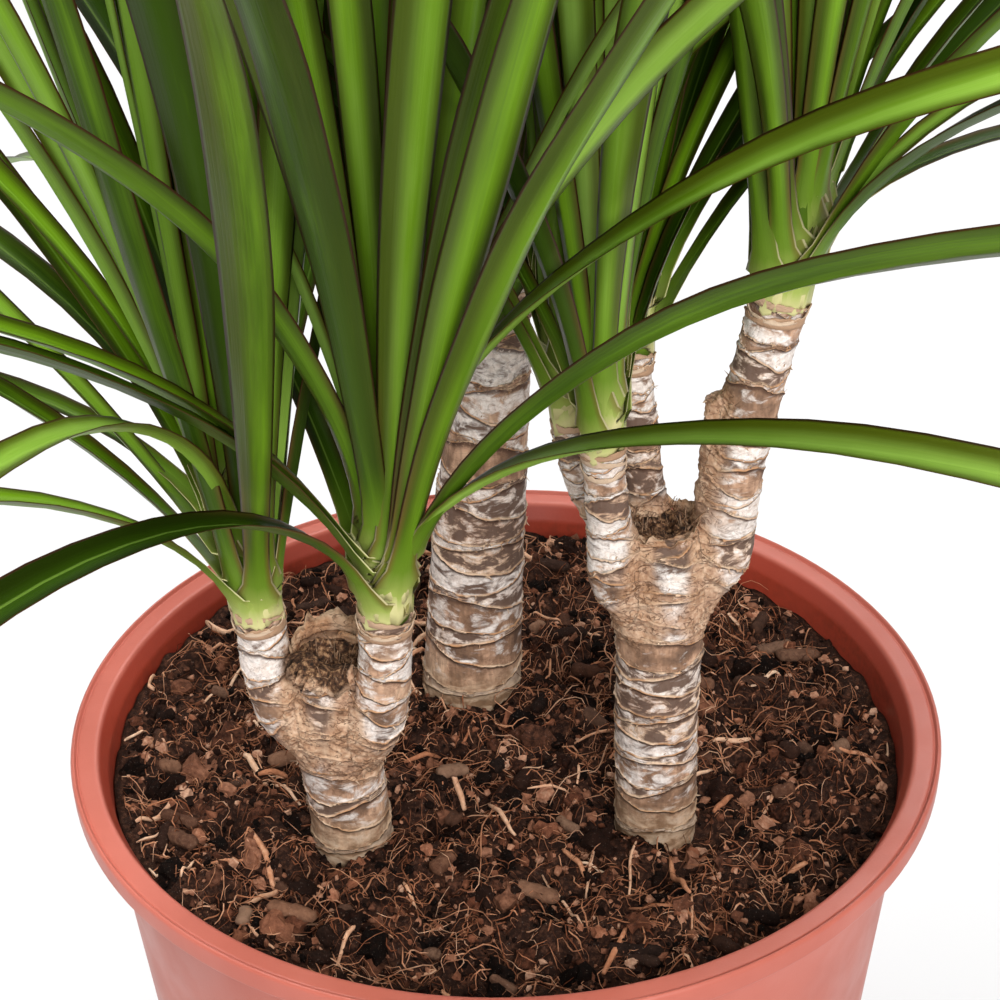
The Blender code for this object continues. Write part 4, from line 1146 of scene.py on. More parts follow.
def blended(limbs, points, cup):
    """Distance from the limbs' common skin, each limb's share there, and how near two limbs are.

    The first limb is hollowed by the cup's ball; the limbs are filleted where they meet.
    """
    found = [limb.locate(points) for limb in limbs]
    gaps = np.stack([row[0] for row in found])
    if cup:
        gaps[0] = np.maximum(gaps[0], cup[1] - np.linalg.norm(points - np.array(cup[0]), axis=1))
    least = gaps.min(axis=0)
    pull = np.exp(-(gaps - least) / FILLET)
    total = pull.sum(axis=0)
    if len(limbs) > 1:
        apart = np.partition(gaps, 1, axis=0)[1] - least
    else:
        apart = least * 0 + 1.0
    return least - FILLET * np.log(total), pull / total, 1 - eased(apart, 0.0006, JOINT_REACH), found


def sunk(limbs, points, cup):
    """Points in the cup's ball are carried out to it, away from its centre, save on the side stems."""
    centre, ball = np.array(cup[0]), cup[1]
    away = points - centre
    reach = np.maximum(np.linalg.norm(away, axis=1), 1e-6)
    stems = np.min([limb.locate(points)[0] for limb in limbs[1:]], axis=0)
    carry = np.maximum(ball - reach, 0.0) * eased(stems, 0.0, 0.0010)
    return points + away * (carry / reach)[:, None]


def voxel_skin(limbs, cell):
    """One closed mesh over all the limbs: overlapping tubes remeshed in small cells, then smoothed."""
    skin = Skin()
    for limb in limbs:
        skin.add(*limb.tube(CAGE_SIDES), (0, 0, 0, 1))
    rough = skin.make("limb_cage", None, "cage")
    remesh = rough.modifiers.new("cells", "REMESH")
    remesh.mode, remesh.voxel_size, remesh.adaptivity = "VOXEL", cell, 0.0
    smooth = rough.modifiers.new("smooth", "SMOOTH")
    smooth.factor, smooth.iterations = 0.5, 3
    graph = bpy.context.evaluated_depsgraph_get()
    shape = bmesh.new()
    shape.from_object(rough, graph)
    bpy.data.objects.remove(rough, do_unlink=True)
    bmesh.ops.triangulate(shape, faces=shape.faces)
    return mesh_arrays(shape)


def normals_of(points, triangles):
    """Unit normals at the points, from the triangles round each."""
    a, b, c = (points[triangles[:, k]] for k in range(3))
    face = np.cross(b - a, c - a)
    total = rows_of(*(np.bincount(triangles.ravel(), np.repeat(face[:, k], 3), len(points))
                      for k in range(3)))
    return total / np.maximum(np.linalg.norm(total, axis=1, keepdims=True), 1e-20)


def bark_skin(limbs, root, cup, cell):
    """Bark over a cane's limbs, with scars, wrinkled joints and a hollow crumbled cut.

    The skin is moved onto the filleted distance of the limbs and then raised along its normals:
    each zone flares a little up to its scar, the scar is a ragged lip, joints carry rings of
    wrinkles, and ripples cover the rest.  Values are the zone's number plus the share of the way up
    it, the zone's height in cm, joint (plus 2 in a hollow) and nearness to the soil.
    """
    points, triangles = voxel_skin(limbs, cell)
    if cup:
        points = sunk(limbs, points, cup)
    for _ in range(FIT_STEPS):
        gap = blended(limbs, points, cup)[0]
        points = points - normals_of(points, triangles) * np.clip(gap, -FIT_REACH, FIT_REACH)[:, None]
    _, shares, joint, found = blended(limbs, points, cup)
    lift, zones, tall, line = 0.0, 0.0, 0.0, 0.0
    best = np.argmax(shares, axis=0)
    for number, (limb, (_, along, turn)) in enumerate(zip(limbs, found)):
        near, share, zone, high = limb.scars(along, turn)
        ragged = 0.65 + 0.55 * ripple(points, 0.0024, limb.seed + 2, 2)
        lip = np.exp(-(near / 0.0005) ** 2) * np.clip(ragged, 0.1, 1.5)
        flare = share ** 3 * 0.7 + 0.30 * (hashed(zone, zone * 0 + limb.seed) - 0.5)
        lift = lift + shares[number] * (lip * SCAR_LIP + flare * SCAR_FLARE) * limb.relief
        rings = np.sin(2 * np.pi * along / 0.0023 + 5.5 * ripple(points, 0.007, limb.seed + 4, 2))
        lift = lift + shares[number] * joint * 0.00022 * rings
        mine = best == number
        zones = np.where(mine, 64.0 * (number + 1) + zone + share, zones)
        tall = np.where(mine, high * 100, tall)
        line = np.where(mine, np.exp(-np.abs(near) / 0.0011), line)
    lift = lift + 0.0010 * joint * ripple(points * (1.0, 1.0, 0.7), 0.0058, 71, 3)
    lift = lift + 0.00012 * ripple(points, 0.0021, 72, 3) + 0.00026 * ripple(points, 0.011, 73, 2)
    hollow = points[:, 0] * 0
    if cup:
        inside = np.linalg.norm(points - np.array(cup[0]), axis=1)
        hollow = (1 - eased(inside, cup[1] + 0.0002, cup[1] + 0.0011)) * (best == 0)
        lift = lift * (1 - hollow) + hollow * 0.0019 * ripple(points, 0.0030, 74, 3)
    points = points + normals_of(points, triangles) * lift[:, None]
    low = 1 - eased(points[:, 2], SOIL_Z, SOIL_Z + 0.030)
    skin = Skin()
    skin.add(points, triangles, rows_of(zones, tall, joint + 2 * hollow, low))
    skin.add(*root.tube(BURIED_SIDES), (64.5, 0.4, 0, 1))
    return skin, points, triangles, line, low


def add_flakes(skin, points, triangles, line, low, count, seed):
    """Papery shreds on the scars: tiny curled slips that stand off the bark, three-sided and pointed."""
    draw = np.random.default_rng(seed)
    normals = normals_of(points, triangles)
    likely = np.flatnonzero((line > 0.75) & (low < 0.97) & (np.abs(normals[:, 2]) < 0.8))
    spots = draw.choice(likely, count)
    share = np.linspace(0, 1, 5)
    out = normals[spots]
    around = unit(np.cross(np.array([0.0, 0.0, 1.0]), out))
    up = np.cross(out, around)
    slant = (draw.random(count) - 0.5) * 2.4
    climb = np.cos(slant) * np.where(draw.random(count) < 0.3, -1, 1)
    way = around * np.sin(slant)[:, None] + up * climb[:, None]
    length = 0.0007 + 0.0013 * draw.random(count) ** 2
    curl = 0.10 + 0.55 * draw.random(count)
    path = (points[spots, None] - out[:, None] * 0.0003
            + way[:, None] * (share[:, None] * length[:, None, None])
            + out[:, None] * (share[:, None] ** 1.5 * (length * curl)[:, None, None]))
    across = np.broadcast_to(np.cross(out, way)[:, None], path.shape)
    lift = np.broadcast_to(out[:, None] * 0.28, path.shape)
    radius = (0.00022 + 0.0004 * draw.random((count, 1))) * (1 - share * 0.85)
    made, faces = sweep(path, across, lift, radius, 4)
    skin.add_many(made, faces, rows_of(0.0, draw.random(count), -1.0, 0.0)[:, None])


def add_torn_wall(skin, foot, axis, radius, seed, rows, rough, lean, kind):
    """Torn sheaths round a stem: thin double walls with ragged edges, one outside the other.

    rows gives for each wall the height of its base, its rise, how far the edge is tipped and the
    angle of its high side; rough is the depth of the tears, and lean widens a wall at its edge.
    """
    right = np.cross([0.0, 1.0, 0.0], axis)
    right /= np.linalg.norm(right)
    back = np.cross(axis, right)
    turn, ring = even_turn(WALL_COLUMNS), rings_in(right, back, WALL_COLUMNS)
    for layer, (base, rise, tip, high_side) in enumerate(rows):
        place_on = rows_of(np.cos(turn), np.sin(turn), layer * 3 + seed)
        tipped = tip * np.cos(turn - high_side)
        edge = base + rise + tipped + rough * ripple(place_on, 0.27, seed + layer, 3)
        start = base + np.minimum(tipped, 0.0)
        edge = np.maximum(edge, start + 0.0006)
        walls = []
        for outward, shares in ((0.00040, (0.0, 0.35, 0.7, 0.9, 1.0)), (0.00012, (1.0, 0.6, 0.0))):
            for share in shares:
                reach = radius + outward + 0.00014 * layer + lean * share ** 2
                reach = reach + 0.00022 * ripple(place_on + share, 0.5, seed + 9, 2) * share
                walls.append(foot + axis * (start + (edge - start) * share)[:, None] + ring * reach[:, None])
        triangles = grid_triangles(len(walls) + 1, WALL_COLUMNS, True) % (len(walls) * WALL_COLUMNS)
        shares = np.repeat(np.array([0.1, 0.2, 0.4, 0.8, 1.0, 1.0, 0.4, 0.1]), WALL_COLUMNS)
        tone = hashed(np.array([layer]), np.array([seed]))[0]
        skin.add(np.concatenate(walls), triangles, rows_of(0.0, tone, kind, shares))


def add_ragged_hairs(skin, cup, count, seed):
    """Torn fibres that stand round the mouth of a crumbled cut."""
    draw = np.random.default_rng(seed)
    centre, ball = np.array(cup[0]), cup[1]
    turn = draw.random(count) * 2 * np.pi
    radius = ball * (0.35 + 0.5 * draw.random(count))
    start = centre + rows_of(np.cos(turn) * radius, np.sin(turn) * radius,
                             -np.sqrt(ball ** 2 - radius ** 2) - 0.0006)
    share = np.linspace(0, 1, 6)
    lean = rows_of(np.cos(turn), np.sin(turn), 0.0) * (draw.random((count, 1)) - 0.25)
    way = lean + (draw.random((count, 3)) - 0.5) * 0.9 + np.array([0, 0, 0.9])
    length = 0.002 + 0.0045 * draw.random(count) ** 2
    bow = (draw.random((count, 3)) - 0.5) * 0.9
    path = (start[:, None] + way[:, None] * (share[:, None] * length[:, None, None])
            + bow[:, None] * (share[:, None] ** 2 * length[:, None, None]))
    side = unit(np.cross(way, [0.3, 1.0, 0.1]))
    lift = unit(np.cross(way, side))
    radius = (0.00016 + 0.00045 * draw.random((count, 1)) ** 3) * (1 - 0.7 * share)
    made, faces = sweep(path, np.broadcast_to(side[:, None], path.shape),
                        np.broadcast_to(lift[:, None], path.shape), radius, 3)
    skin.add_many(made, faces, rows_of(0.0, draw.random(count), 1.3, 0.0)[:, None])


def cane_limbs(name):
    """The visible trunk and stems of a cane, and its plain buried foot."""
    rows, heads = CANE_STEMS[name]
    rows = list(rows)
    if name == "cane_back":
        foot, axis = np.array(HEADS["back"][0]), head_axis("back")
        rows.append((*(foot - axis * GAP), HEADS["back"][2]))
    pitch = TRUNK_PITCH[name]
    grid = np.array(rows)
    bottom, top = row_values((TRUNK_FOOT, BURIED_TOP), grid[:, 2], grid)
    limbs = [Limb([tuple(bottom)] + [row for row in rows if row[2] > TRUNK_FOOT], len(name), pitch)]
    for number, head in enumerate(heads):
        stem = stem_rows(head)
        stem_pitch = THIN_PITCH if stem[-1][3] < THIN_STEM else STEM_PITCH
        limbs.append(Limb(stem, 20 + number * 7 + len(head), stem_pitch, STEM_RELIEF))
    if name == "cane_right":
        limbs.append(Limb(STUB_ROWS, 91, STEM_PITCH, STUB_RELIEF))
    root = [(*row[:3], row[3] - 0.0004) for row in (rows[0], top)]
    return limbs, Limb(root, 0, pitch)


def bark_finish(settings):
    """Ringed bark: tan and grey-brown zones, torn whitish film, pale scar lips with a painted shadow under
    each, and golden joints.

    The cuts are dark and crumbly, and the foot is browner where it stands in wet soil.
    """
    made = Finish("bark", 0.72, 0.25)
    zones, tall, joint, low = made.values("bark")
    zone, share = made.math("FLOOR", zones), made.math("FRACT", zones)
    near = made.times(made.math("MINIMUM", share, made.minus(1.0, share)), tall)
    draw = made.tree.nodes.new("ShaderNodeTexWhiteNoise")
    draw.noise_dimensions = "1D"
    made.feed(draw.inputs["W"], zone)
    parts = made.tree.nodes.new("ShaderNodeSeparateColor")
    made.feed(parts.inputs["Color"], draw.outputs["Color"])
    grey, white, _ = parts.outputs
    plain = made.span(joint, 0.20, 0.80, 1.0, 0.30)
    flat = made.scaled((1.0, 1.0, 1.9))
    cloud = made.noise(130.0, 4.0, 0.6)
    torn = made.noise(165.0, 5.0, 0.60, flat, 0.5)
    fine = made.noise(800.0, 3.0, 0.6)
    grain = made.noise(850.0, 2.0, 0.5, made.scaled((1.0, 1.0, 0.18)))
    shade = made.plus(made.times(cloud, 0.9), made.times(grey, 0.30))
    base = made.ramp(shade, (0.34, linear(98, 76, 62)), (0.48, linear(148, 114, 90)),
                     (0.60, tuple(settings.tan)), (0.78, linear(222, 188, 158)))
    window = made.times(made.span(grey, 0.50, 0.60), made.span(torn, 0.47, 0.58, 1.0, 0.0))
    window = made.times(window, made.span(near, 0.03, 0.07))
    base = made.mix(made.times(window, made.times(plain, 0.95)), base,
                    tuple(settings.dark))
    base = made.mix(made.span(grain, 0.40, 0.60, 0.35, 0.0), base, linear(96, 72, 58))
    cover = made.plus(torn, made.times(made.minus(white, 0.5), 0.30))
    film = made.times(made.span(cover, 0.44, 0.62), made.span(joint, 0.1, 0.7, 1.0, 0.30))
    film = made.times(film, made.span(low, 0.5, 1.0, 1.0, 0.4))
    pale = made.mix(made.span(fine, 0.3, 0.7), linear(214, 200, 190), tuple(settings.film))
    body = made.mix(made.times(film, 0.86), base, pale)
    gold = made.ramp(made.plus(made.times(cloud, 0.45), made.times(fine, 0.55)),
                     (0.34, linear(100, 68, 47)), (0.46, linear(166, 125, 94)), (0.62, linear(206, 173, 143)))
    body = made.mix(made.span(joint, 0.15, 0.85, 0.0, 0.78), body, gold)
    veins = made.noise(190.0, 3.0, 0.55, flat, 1.0)
    veins = made.span(made.math("ABSOLUTE", made.minus(veins, 0.5)), 0.003, 0.022, 1.0, 0.0)
    body = made.mix(made.times(veins, made.span(joint, 0.1, 0.8, 0.30, 0.60)), body,
                    linear(94, 62, 44))
    broken = made.times(made.span(fine, 0.30, 0.44), plain)
    # Painted shadow: a thin dark band just under each scar, where the lip above would shade the bark
    under = made.times(made.span(share, 0.78, 0.92), made.span(share, 0.96, 0.99, 1.0, 0.0))
    body = made.mix(made.times(made.times(under, broken), 0.85), body, linear(74, 50, 38))
    lip = made.times(made.span(near, 0.015, 0.034, 1.0, 0.0), broken)
    body = made.mix(made.times(lip, 0.95), body,
                    made.mix(made.span(cloud, 0.42, 0.58), linear(196, 146, 106), tuple(settings.lip)))
    wet = made.mix(made.span(torn, 0.40, 0.60), linear(116, 88, 62), linear(182, 156, 128))
    body = made.mix(made.span(low, 0.60, 1.0, 0.0, 0.66), body, wet)
    cut = made.ramp(fine, (0.36, linear(36, 24, 17)), (0.52, linear(92, 62, 42)),
                    (0.66, linear(166, 128, 94)))
    body = made.mix(made.span(joint, 1.05, 1.5), body, cut)
    papery = made.mix(tall, linear(160, 122, 92), linear(208, 182, 156))
    body = made.mix(made.span(joint, -0.6, -0.3, 1.0, 0.0), body, papery)
    made.colour(body)
    made.roughness(made.span(film, 0.0, 1.0, 0.80, 0.60))
    ridge = made.times(made.span(near, 0.0, 0.060, 1.0, 0.0), plain)
    relief = made.plus(made.times(fine, 0.45), made.times(grain, 0.30))
    relief = made.plus(relief, made.times(film, 0.30))
    relief = made.minus(relief, made.times(veins, made.span(joint, 0.1, 0.8, 0.15, 0.7)))
    made.bump(made.plus(relief, made.times(ridge, 1.6)), 0.00045, 0.9)
    return made.material


def slim_blades(head):
    """More blades than the solid has: slim young ones inside the head and a few lax ones outside."""
    draw = random.Random("%s slim %d" % (head, HEAD_SEED))
    blades = []
    for number in range(SLIM_COUNT[head]):
        young = number % 4 != 3
        height = draw.uniform(0.020, 0.046) if young else draw.uniform(0.006, 0.022)
        rise = draw.uniform(80, 88) if young else draw.uniform(66, 82)
        tip_rise = draw.uniform(62, 88) if young else draw.uniform(-30, 50)
        size = draw.uniform(0.62, 0.84) if young else draw.uniform(0.82, 0.98)
        length = HEADS[head][4] * draw.uniform(0.70, 0.95)
        root = (height, draw.uniform(0, 360), rise, tip_rise)
        blades.append(((*root, draw.uniform(0.6, 1.0), draw.uniform(-9, 9), draw.uniform(-45, 45), length),
                       size))
    return blades


def blade_half_width(share, width):
    """Half width along a blade: it widens on a sine to 43 % of its length, then narrows to its point."""
    grow = 0.54 + 0.46 * np.sin(np.pi / 2 * np.clip(share / 0.43, 0, 1)) ** 1.6
    narrow = 1 - np.clip((share - 0.43) / 0.57, 0, 1) ** 2.2
    return width / 2 * grow * narrow


def add_blade(skin, head, blade, line, width, tone):
    """One leaf: a clasping sheath round the shoot that opens into a shallow trough and ends in a point.

    Across the blade, at u from -1 to 1, the upper face lies on an arc of angle u * wrap, plus a
    shallow V; the under face lies below it by a thickness that grows from the margins to the midrib.
    """
    foot, axis = np.array(HEADS[head][0]), head_axis(head)
    radius, length = HEADS[head][2], blade[7]
    share = np.linspace(0, 1, LEAF_STATIONS) ** 1.3 * 0.996
    point, across, normal = blade_frame(line, blade[6], share)
    distance = share * length
    outward = line[0] - foot - axis * blade[0]
    outward /= np.linalg.norm(outward)
    depths = np.array([0.0085, 0.0055, 0.0027])
    depths = np.minimum(depths, blade[0] + np.array([0.0012, 0.0004, -0.0008]))
    side = np.cross(axis, outward)
    wide = 0.0011 * (1 - blade[0] / LAST_BLADE) - 0.0003
    sheath = foot + axis * (blade[0] - depths)[:, None] + outward * (radius * 0.9 + wide)
    point = point + outward * (wide * np.exp(-distance / 0.006))[:, None]
    point = np.concatenate([sheath, point])
    across = np.concatenate([np.tile(side, (3, 1)), across])
    normal = np.concatenate([np.tile(-outward, (3, 1)), normal])
    distance = np.concatenate([-depths, distance])
    half = np.concatenate([np.full(3, blade_half_width(0.0, width)), blade_half_width(share, width)])
    clasp = np.exp(-np.maximum(distance, 0.0) / 0.0055)
    half = half + (radius * 1.75 - half) * clasp
    wrap = np.maximum(half / (radius * (1.0 + 0.9 * (1 - clasp))) * clasp ** 0.7, 0.05)
    u = np.array(LEAF_ACROSS)
    angle = u * wrap[:, None]
    fold = 0.40 * eased(distance, 0.008, 0.045) * (1 - 0.5 * np.clip(distance / length, 0, 1))
    ripple_edge = 0.0004 * np.sin(distance / length * 23 + tone * 40) * eased(distance, 0.03, 0.08)
    rise = half[:, None] * ((1 - np.cos(angle)) / wrap[:, None] + (np.abs(u) - 0.4) * fold[:, None])
    rise = rise + np.abs(u) * ripple_edge[:, None]
    reach = half[:, None] * np.sin(angle) / wrap[:, None]
    upper = point[:, None] + across[:, None] * reach[..., None] + normal[:, None] * rise[..., None]
    lean = normal[:, None] * np.cos(angle)[..., None] - across[:, None] * np.sin(angle)[..., None]
    taper = np.clip(1.15 - distance / length, 0.25, 1.0)[:, None]
    thick = (0.00022 + 0.00075 * (1 - np.abs(u)) ** 2.2) * taper
    lower = upper - lean * thick[..., None]
    lift = axis * 0.0055
    slope = np.array([1.0, 0.8, 0.35])[:, None, None] * (np.abs(u) ** 1.6)[None, :, None] * lift
    upper[:3] += slope
    lower[:3] += slope
    count = len(u)
    rings = np.concatenate([upper, lower[:, -2:0:-1]], axis=1)
    columns = rings.shape[1]
    points = np.concatenate([rings.reshape(-1, 3), line[-1:]])
    under = np.concatenate([[0], np.arange(columns - 1, count - 1, -1), [count - 1]])
    first = np.arange(count)
    cap = np.concatenate([rows_of(first[:-1], under[1:], first[1:])[:-1],
                          rows_of(first[:-1], under[:-1], under[1:])[1:]])
    last = (len(rings) - 1) * columns + np.arange(columns)
    triangles = np.concatenate([grid_triangles(len(rings), columns, True), cap,
                                fan(last, len(points) - 1, False)])
    u_ring = np.concatenate([u, u[-2:0:-1]])
    face = np.concatenate([np.ones(count), np.zeros(count - 2)])
    values = rows_of(u_ring * 0.5 + 0.5, distance[:, None] * 10, tone, face)
    values = np.concatenate([values.reshape(-1, 4), [[0.5, length * 10, tone, 1]]])
    skin.add(points, triangles, values)


def add_shoot(skin, head):
    """The green shoot inside the sheaths: a tube that narrows to a blunt tip."""
    rows = row_values(np.linspace(0, 1, SHOOT_RINGS), (0.0, 0.25, 0.7, 1.0), np.array(core_rows(head)))
    line = rows[:, :3]
    _, right, back = axes_along(line)
    points = line[:, None] + rings_in(right, back, SHOOT_SIDES) * (rows[:, 3] * 0.93)[:, None, None]
    skin.add(np.concatenate([points.reshape(-1, 3), line[[0, -1]]]),
             tube_triangles(SHOOT_RINGS, SHOOT_SIDES), (0.5, 0.12, 0.4, 0))


def leaf_finish(settings):
    """Leathery leaf: a painted highlight along its trough that falls to painted shade at the sides, and a
    thin red-brown margin.

    Each blade has its own tone, fine stripes run along it, and its clasping base is paler.
    """
    made = Finish("leaf", settings.roughness, 0.13)
    made.shader.inputs["Specular Tint"].default_value = (0.88, 0.96, 0.55, 1.0)
    across, along, tone, upper = made.values("blade")
    middle = made.minus(made.times(across, 2.0), 1.0)
    edge = made.math("ABSOLUTE", middle)
    lane = made.times(tone, 61.0)
    stripes = made.noise(1.0, 3.0, 0.6, made.join(made.times(across, 26.0), made.times(along, 0.9), lane))
    broad = made.noise(1.0, 3.0, 0.55, made.join(made.times(across, 2.5), made.times(along, 1.6), lane))
    share = made.plus(made.times(stripes, 0.22), made.times(broad, 0.50))
    share = made.math("ADD", share, made.times(made.minus(tone, 0.46), 1.3), clamp=True)
    bright = made.ramp(share, (0.05, tuple(settings.deep)), (0.38, tuple(settings.mid)),
                       (0.80, tuple(settings.fresh)))
    # Painted light: a bright band along the trough, set a little to one side as if one half of the V were lit
    aside = made.times(made.minus(made.math("FRACT", lane), 0.5), 0.8)
    band = made.math("ABSOLUTE", made.minus(middle, aside))
    band = made.times(made.span(band, 0.05, 0.95, 1.0, 0.0), made.span(edge, 0.45, 0.98, 1.0, 0.25))
    # Painted shade: the dark green that the blade's sides fall to
    sides = made.mix(share, linear(24, 36, 3), linear(80, 92, 14))
    green = made.mix(band, sides, bright)
    rib = made.times(made.span(edge, 0.10, 0.02), made.times(upper, 0.25))
    green = made.mix(rib, green, tuple(settings.fresh))
    grey = made.times(made.minus(1.0, upper), 0.15)
    green = made.mix(grey, green, linear(104, 132, 52))
    green = made.mix(made.span(along, 2.2, 3.6, 0.0, 0.35), green, linear(70, 66, 34))
    young = made.ramp(made.plus(along, made.times(broad, 0.08)),
                      (0.0, linear(194, 188, 132)), (0.05, linear(148, 162, 80)),
                      (0.15, linear(98, 126, 36)), (0.36, linear(78, 112, 16)))
    body = made.mix(made.span(along, 0.05, 0.40), young, green)
    tinge = made.times(made.span(edge, 0.45, 0.95), made.span(along, 0.9, 0.15))
    tinge = made.times(tinge, made.span(made.math("FRACT", lane), 0.2, 0.8, 0.15, 0.65))
    body = made.mix(tinge, body, linear(104, 66, 40))
    margin = made.times(made.span(edge, 0.88, 0.95), made.span(along, 0.02, 0.30, 0.6, 0.9))
    fringe = made.mix(made.span(along, 0.05, 0.30), linear(214, 204, 160), tuple(settings.margin))
    made.colour(made.mix(margin, body, fringe))
    made.roughness(made.span(stripes, 0.3, 0.7, settings.roughness - 0.06, settings.roughness + 0.08))
    made.bump(stripes, 0.00015, 0.5)
    return made.material


# Colours of peat, fibres and bark chips from dark to pale
PEAT = ((0.0, linear(12, 8, 6)), (0.34, linear(40, 25, 19)), (0.58, linear(106, 69, 52)),
        (0.82, linear(154, 108, 84)), (1.0, linear(196, 156, 130)))
COIR = ((0.0, linear(56, 33, 24)), (0.28, linear(128, 81, 57)), (0.60, linear(194, 140, 106)),
        (1.0, linear(238, 206, 176)))
CHIP = ((0.0, linear(24, 17, 14)), (0.4, linear(54, 38, 31)), (0.7, linear(90, 65, 52)),
        (1.0, linear(136, 106, 86)))


# What the settings of one kind have in common
TINT = {"subtype": "COLOR", "size": 3, "min": 0.0, "max": 1.0}
FACTOR = {"subtype": "FACTOR", "min": 0.0, "max": 1.0}
POWER = {"subtype": "POWER", "unit": "POWER", "min": 0.0, "max": 500.0}


class DracaenaPotSettings(bpy.types.PropertyGroup):
    """Finish of the nursery pot."""
    colour: bpy.props.FloatVectorProperty(
        name="Plastic", description="Colour of the moulded plastic", default=linear(184, 98, 82), **TINT)
    shade: bpy.props.FloatVectorProperty(
        name="Mottle", description="Second tone of the plastic", default=linear(173, 88, 72), **TINT)
    roughness: bpy.props.FloatProperty(
        name="Roughness", description="How matt the plastic is", default=0.42, **FACTOR)


class DracaenaSoilSettings(bpy.types.PropertyGroup):
    """Make-up of the potting soil."""
    crumbs: bpy.props.IntProperty(
        name="Crumbs", description="Fine crumbs of peat on the soil", min=0, max=7000, default=5200)
    clods: bpy.props.IntProperty(
        name="Clods", description="Larger crumbs", min=0, max=600, default=300)
    fibres: bpy.props.IntProperty(
        name="Fibres", description="Coir fibres lying on the soil", min=0, max=4000, default=1700)
    shreds: bpy.props.IntProperty(
        name="Shreds", description="Short bits of fibre", min=0, max=5000, default=3000)
    twigs: bpy.props.IntProperty(
        name="Twigs", description="Pale splinters of wood", min=0, max=300, default=90)
    chips: bpy.props.IntProperty(
        name="More chips", description="Bark chips besides those of the solid", min=0, max=80, default=46)
    warm: bpy.props.FloatVectorProperty(
        name="Warmth", description="Tint laid over part of the pieces", default=linear(226, 178, 150), **TINT)


class DracaenaBarkSettings(bpy.types.PropertyGroup):
    """Finish and grain of the canes."""
    cell: bpy.props.FloatProperty(
        name="Cell", description="Size of the bark's mesh cells", subtype="DISTANCE", unit="LENGTH",
        min=0.0004, max=0.002, precision=5, default=0.00057)
    tan: bpy.props.FloatVectorProperty(
        name="Tan", description="Common tone of the bark", default=linear(194, 155, 127), **TINT)
    dark: bpy.props.FloatVectorProperty(
        name="Dark", description="Grey-brown zones", default=linear(98, 78, 68), **TINT)
    film: bpy.props.FloatVectorProperty(
        name="Film", description="Whitish torn film", default=linear(248, 240, 234), **TINT)
    lip: bpy.props.FloatVectorProperty(
        name="Scar lip", description="Papery edge of a leaf scar", default=linear(226, 194, 164), **TINT)
    flakes: bpy.props.IntProperty(
        name="Flakes", description="Papery shreds on each cane", min=0, max=1500, default=420)


class DracaenaLeafSettings(bpy.types.PropertyGroup):
    """Finish of the leaves."""
    deep: bpy.props.FloatVectorProperty(
        name="Deep green", description="Darkest tone of the blades", default=linear(38, 62, 4), **TINT)
    mid: bpy.props.FloatVectorProperty(
        name="Green", description="Common tone of the blades", default=linear(104, 144, 20), **TINT)
    fresh: bpy.props.FloatVectorProperty(
        name="Fresh green", description="Lightest tone of the blades", default=linear(146, 182, 78), **TINT)
    margin: bpy.props.FloatVectorProperty(
        name="Margin", description="Thin dark edge of the blades", default=linear(62, 32, 20), **TINT)
    roughness: bpy.props.FloatProperty(
        name="Roughness", description="How matt the leaves are", default=0.36, **FACTOR)


class DracaenaStageSettings(bpy.types.PropertyGroup):
    """The plain studio round the plant."""
    floor: bpy.props.FloatVectorProperty(
        name="Floor", description="Colour of the floor", default=(0.22, 0.22, 0.22), **TINT)
    glow: bpy.props.FloatProperty(
        name="Glow", description="Light that the floor gives of its own, as a lit table does", min=0.0,
        max=2.0, default=0.64)
    key: bpy.props.FloatProperty(
        name="Key light", description="Power of the main soft light", default=46.0, **POWER)
    fill: bpy.props.FloatProperty(
        name="Fill light", description="Power of the soft light in front", default=46.0, **POWER)
    back: bpy.props.FloatProperty(
        name="Back light", description="Power of the light that stands high behind", default=26.0, **POWER)
    sky: bpy.props.FloatProperty(
        name="Surround", description="Strength of the white surround", min=0.0, max=5.0, default=0.42)


def aimed(spot, target):
    """Placing of a light that stands at the spot and looks at the target."""
    way = Vector(target) - Vector(spot)
    return Matrix.Translation(spot) @ way.to_track_quat("-Z", "Y").to_matrix().to_4x4()


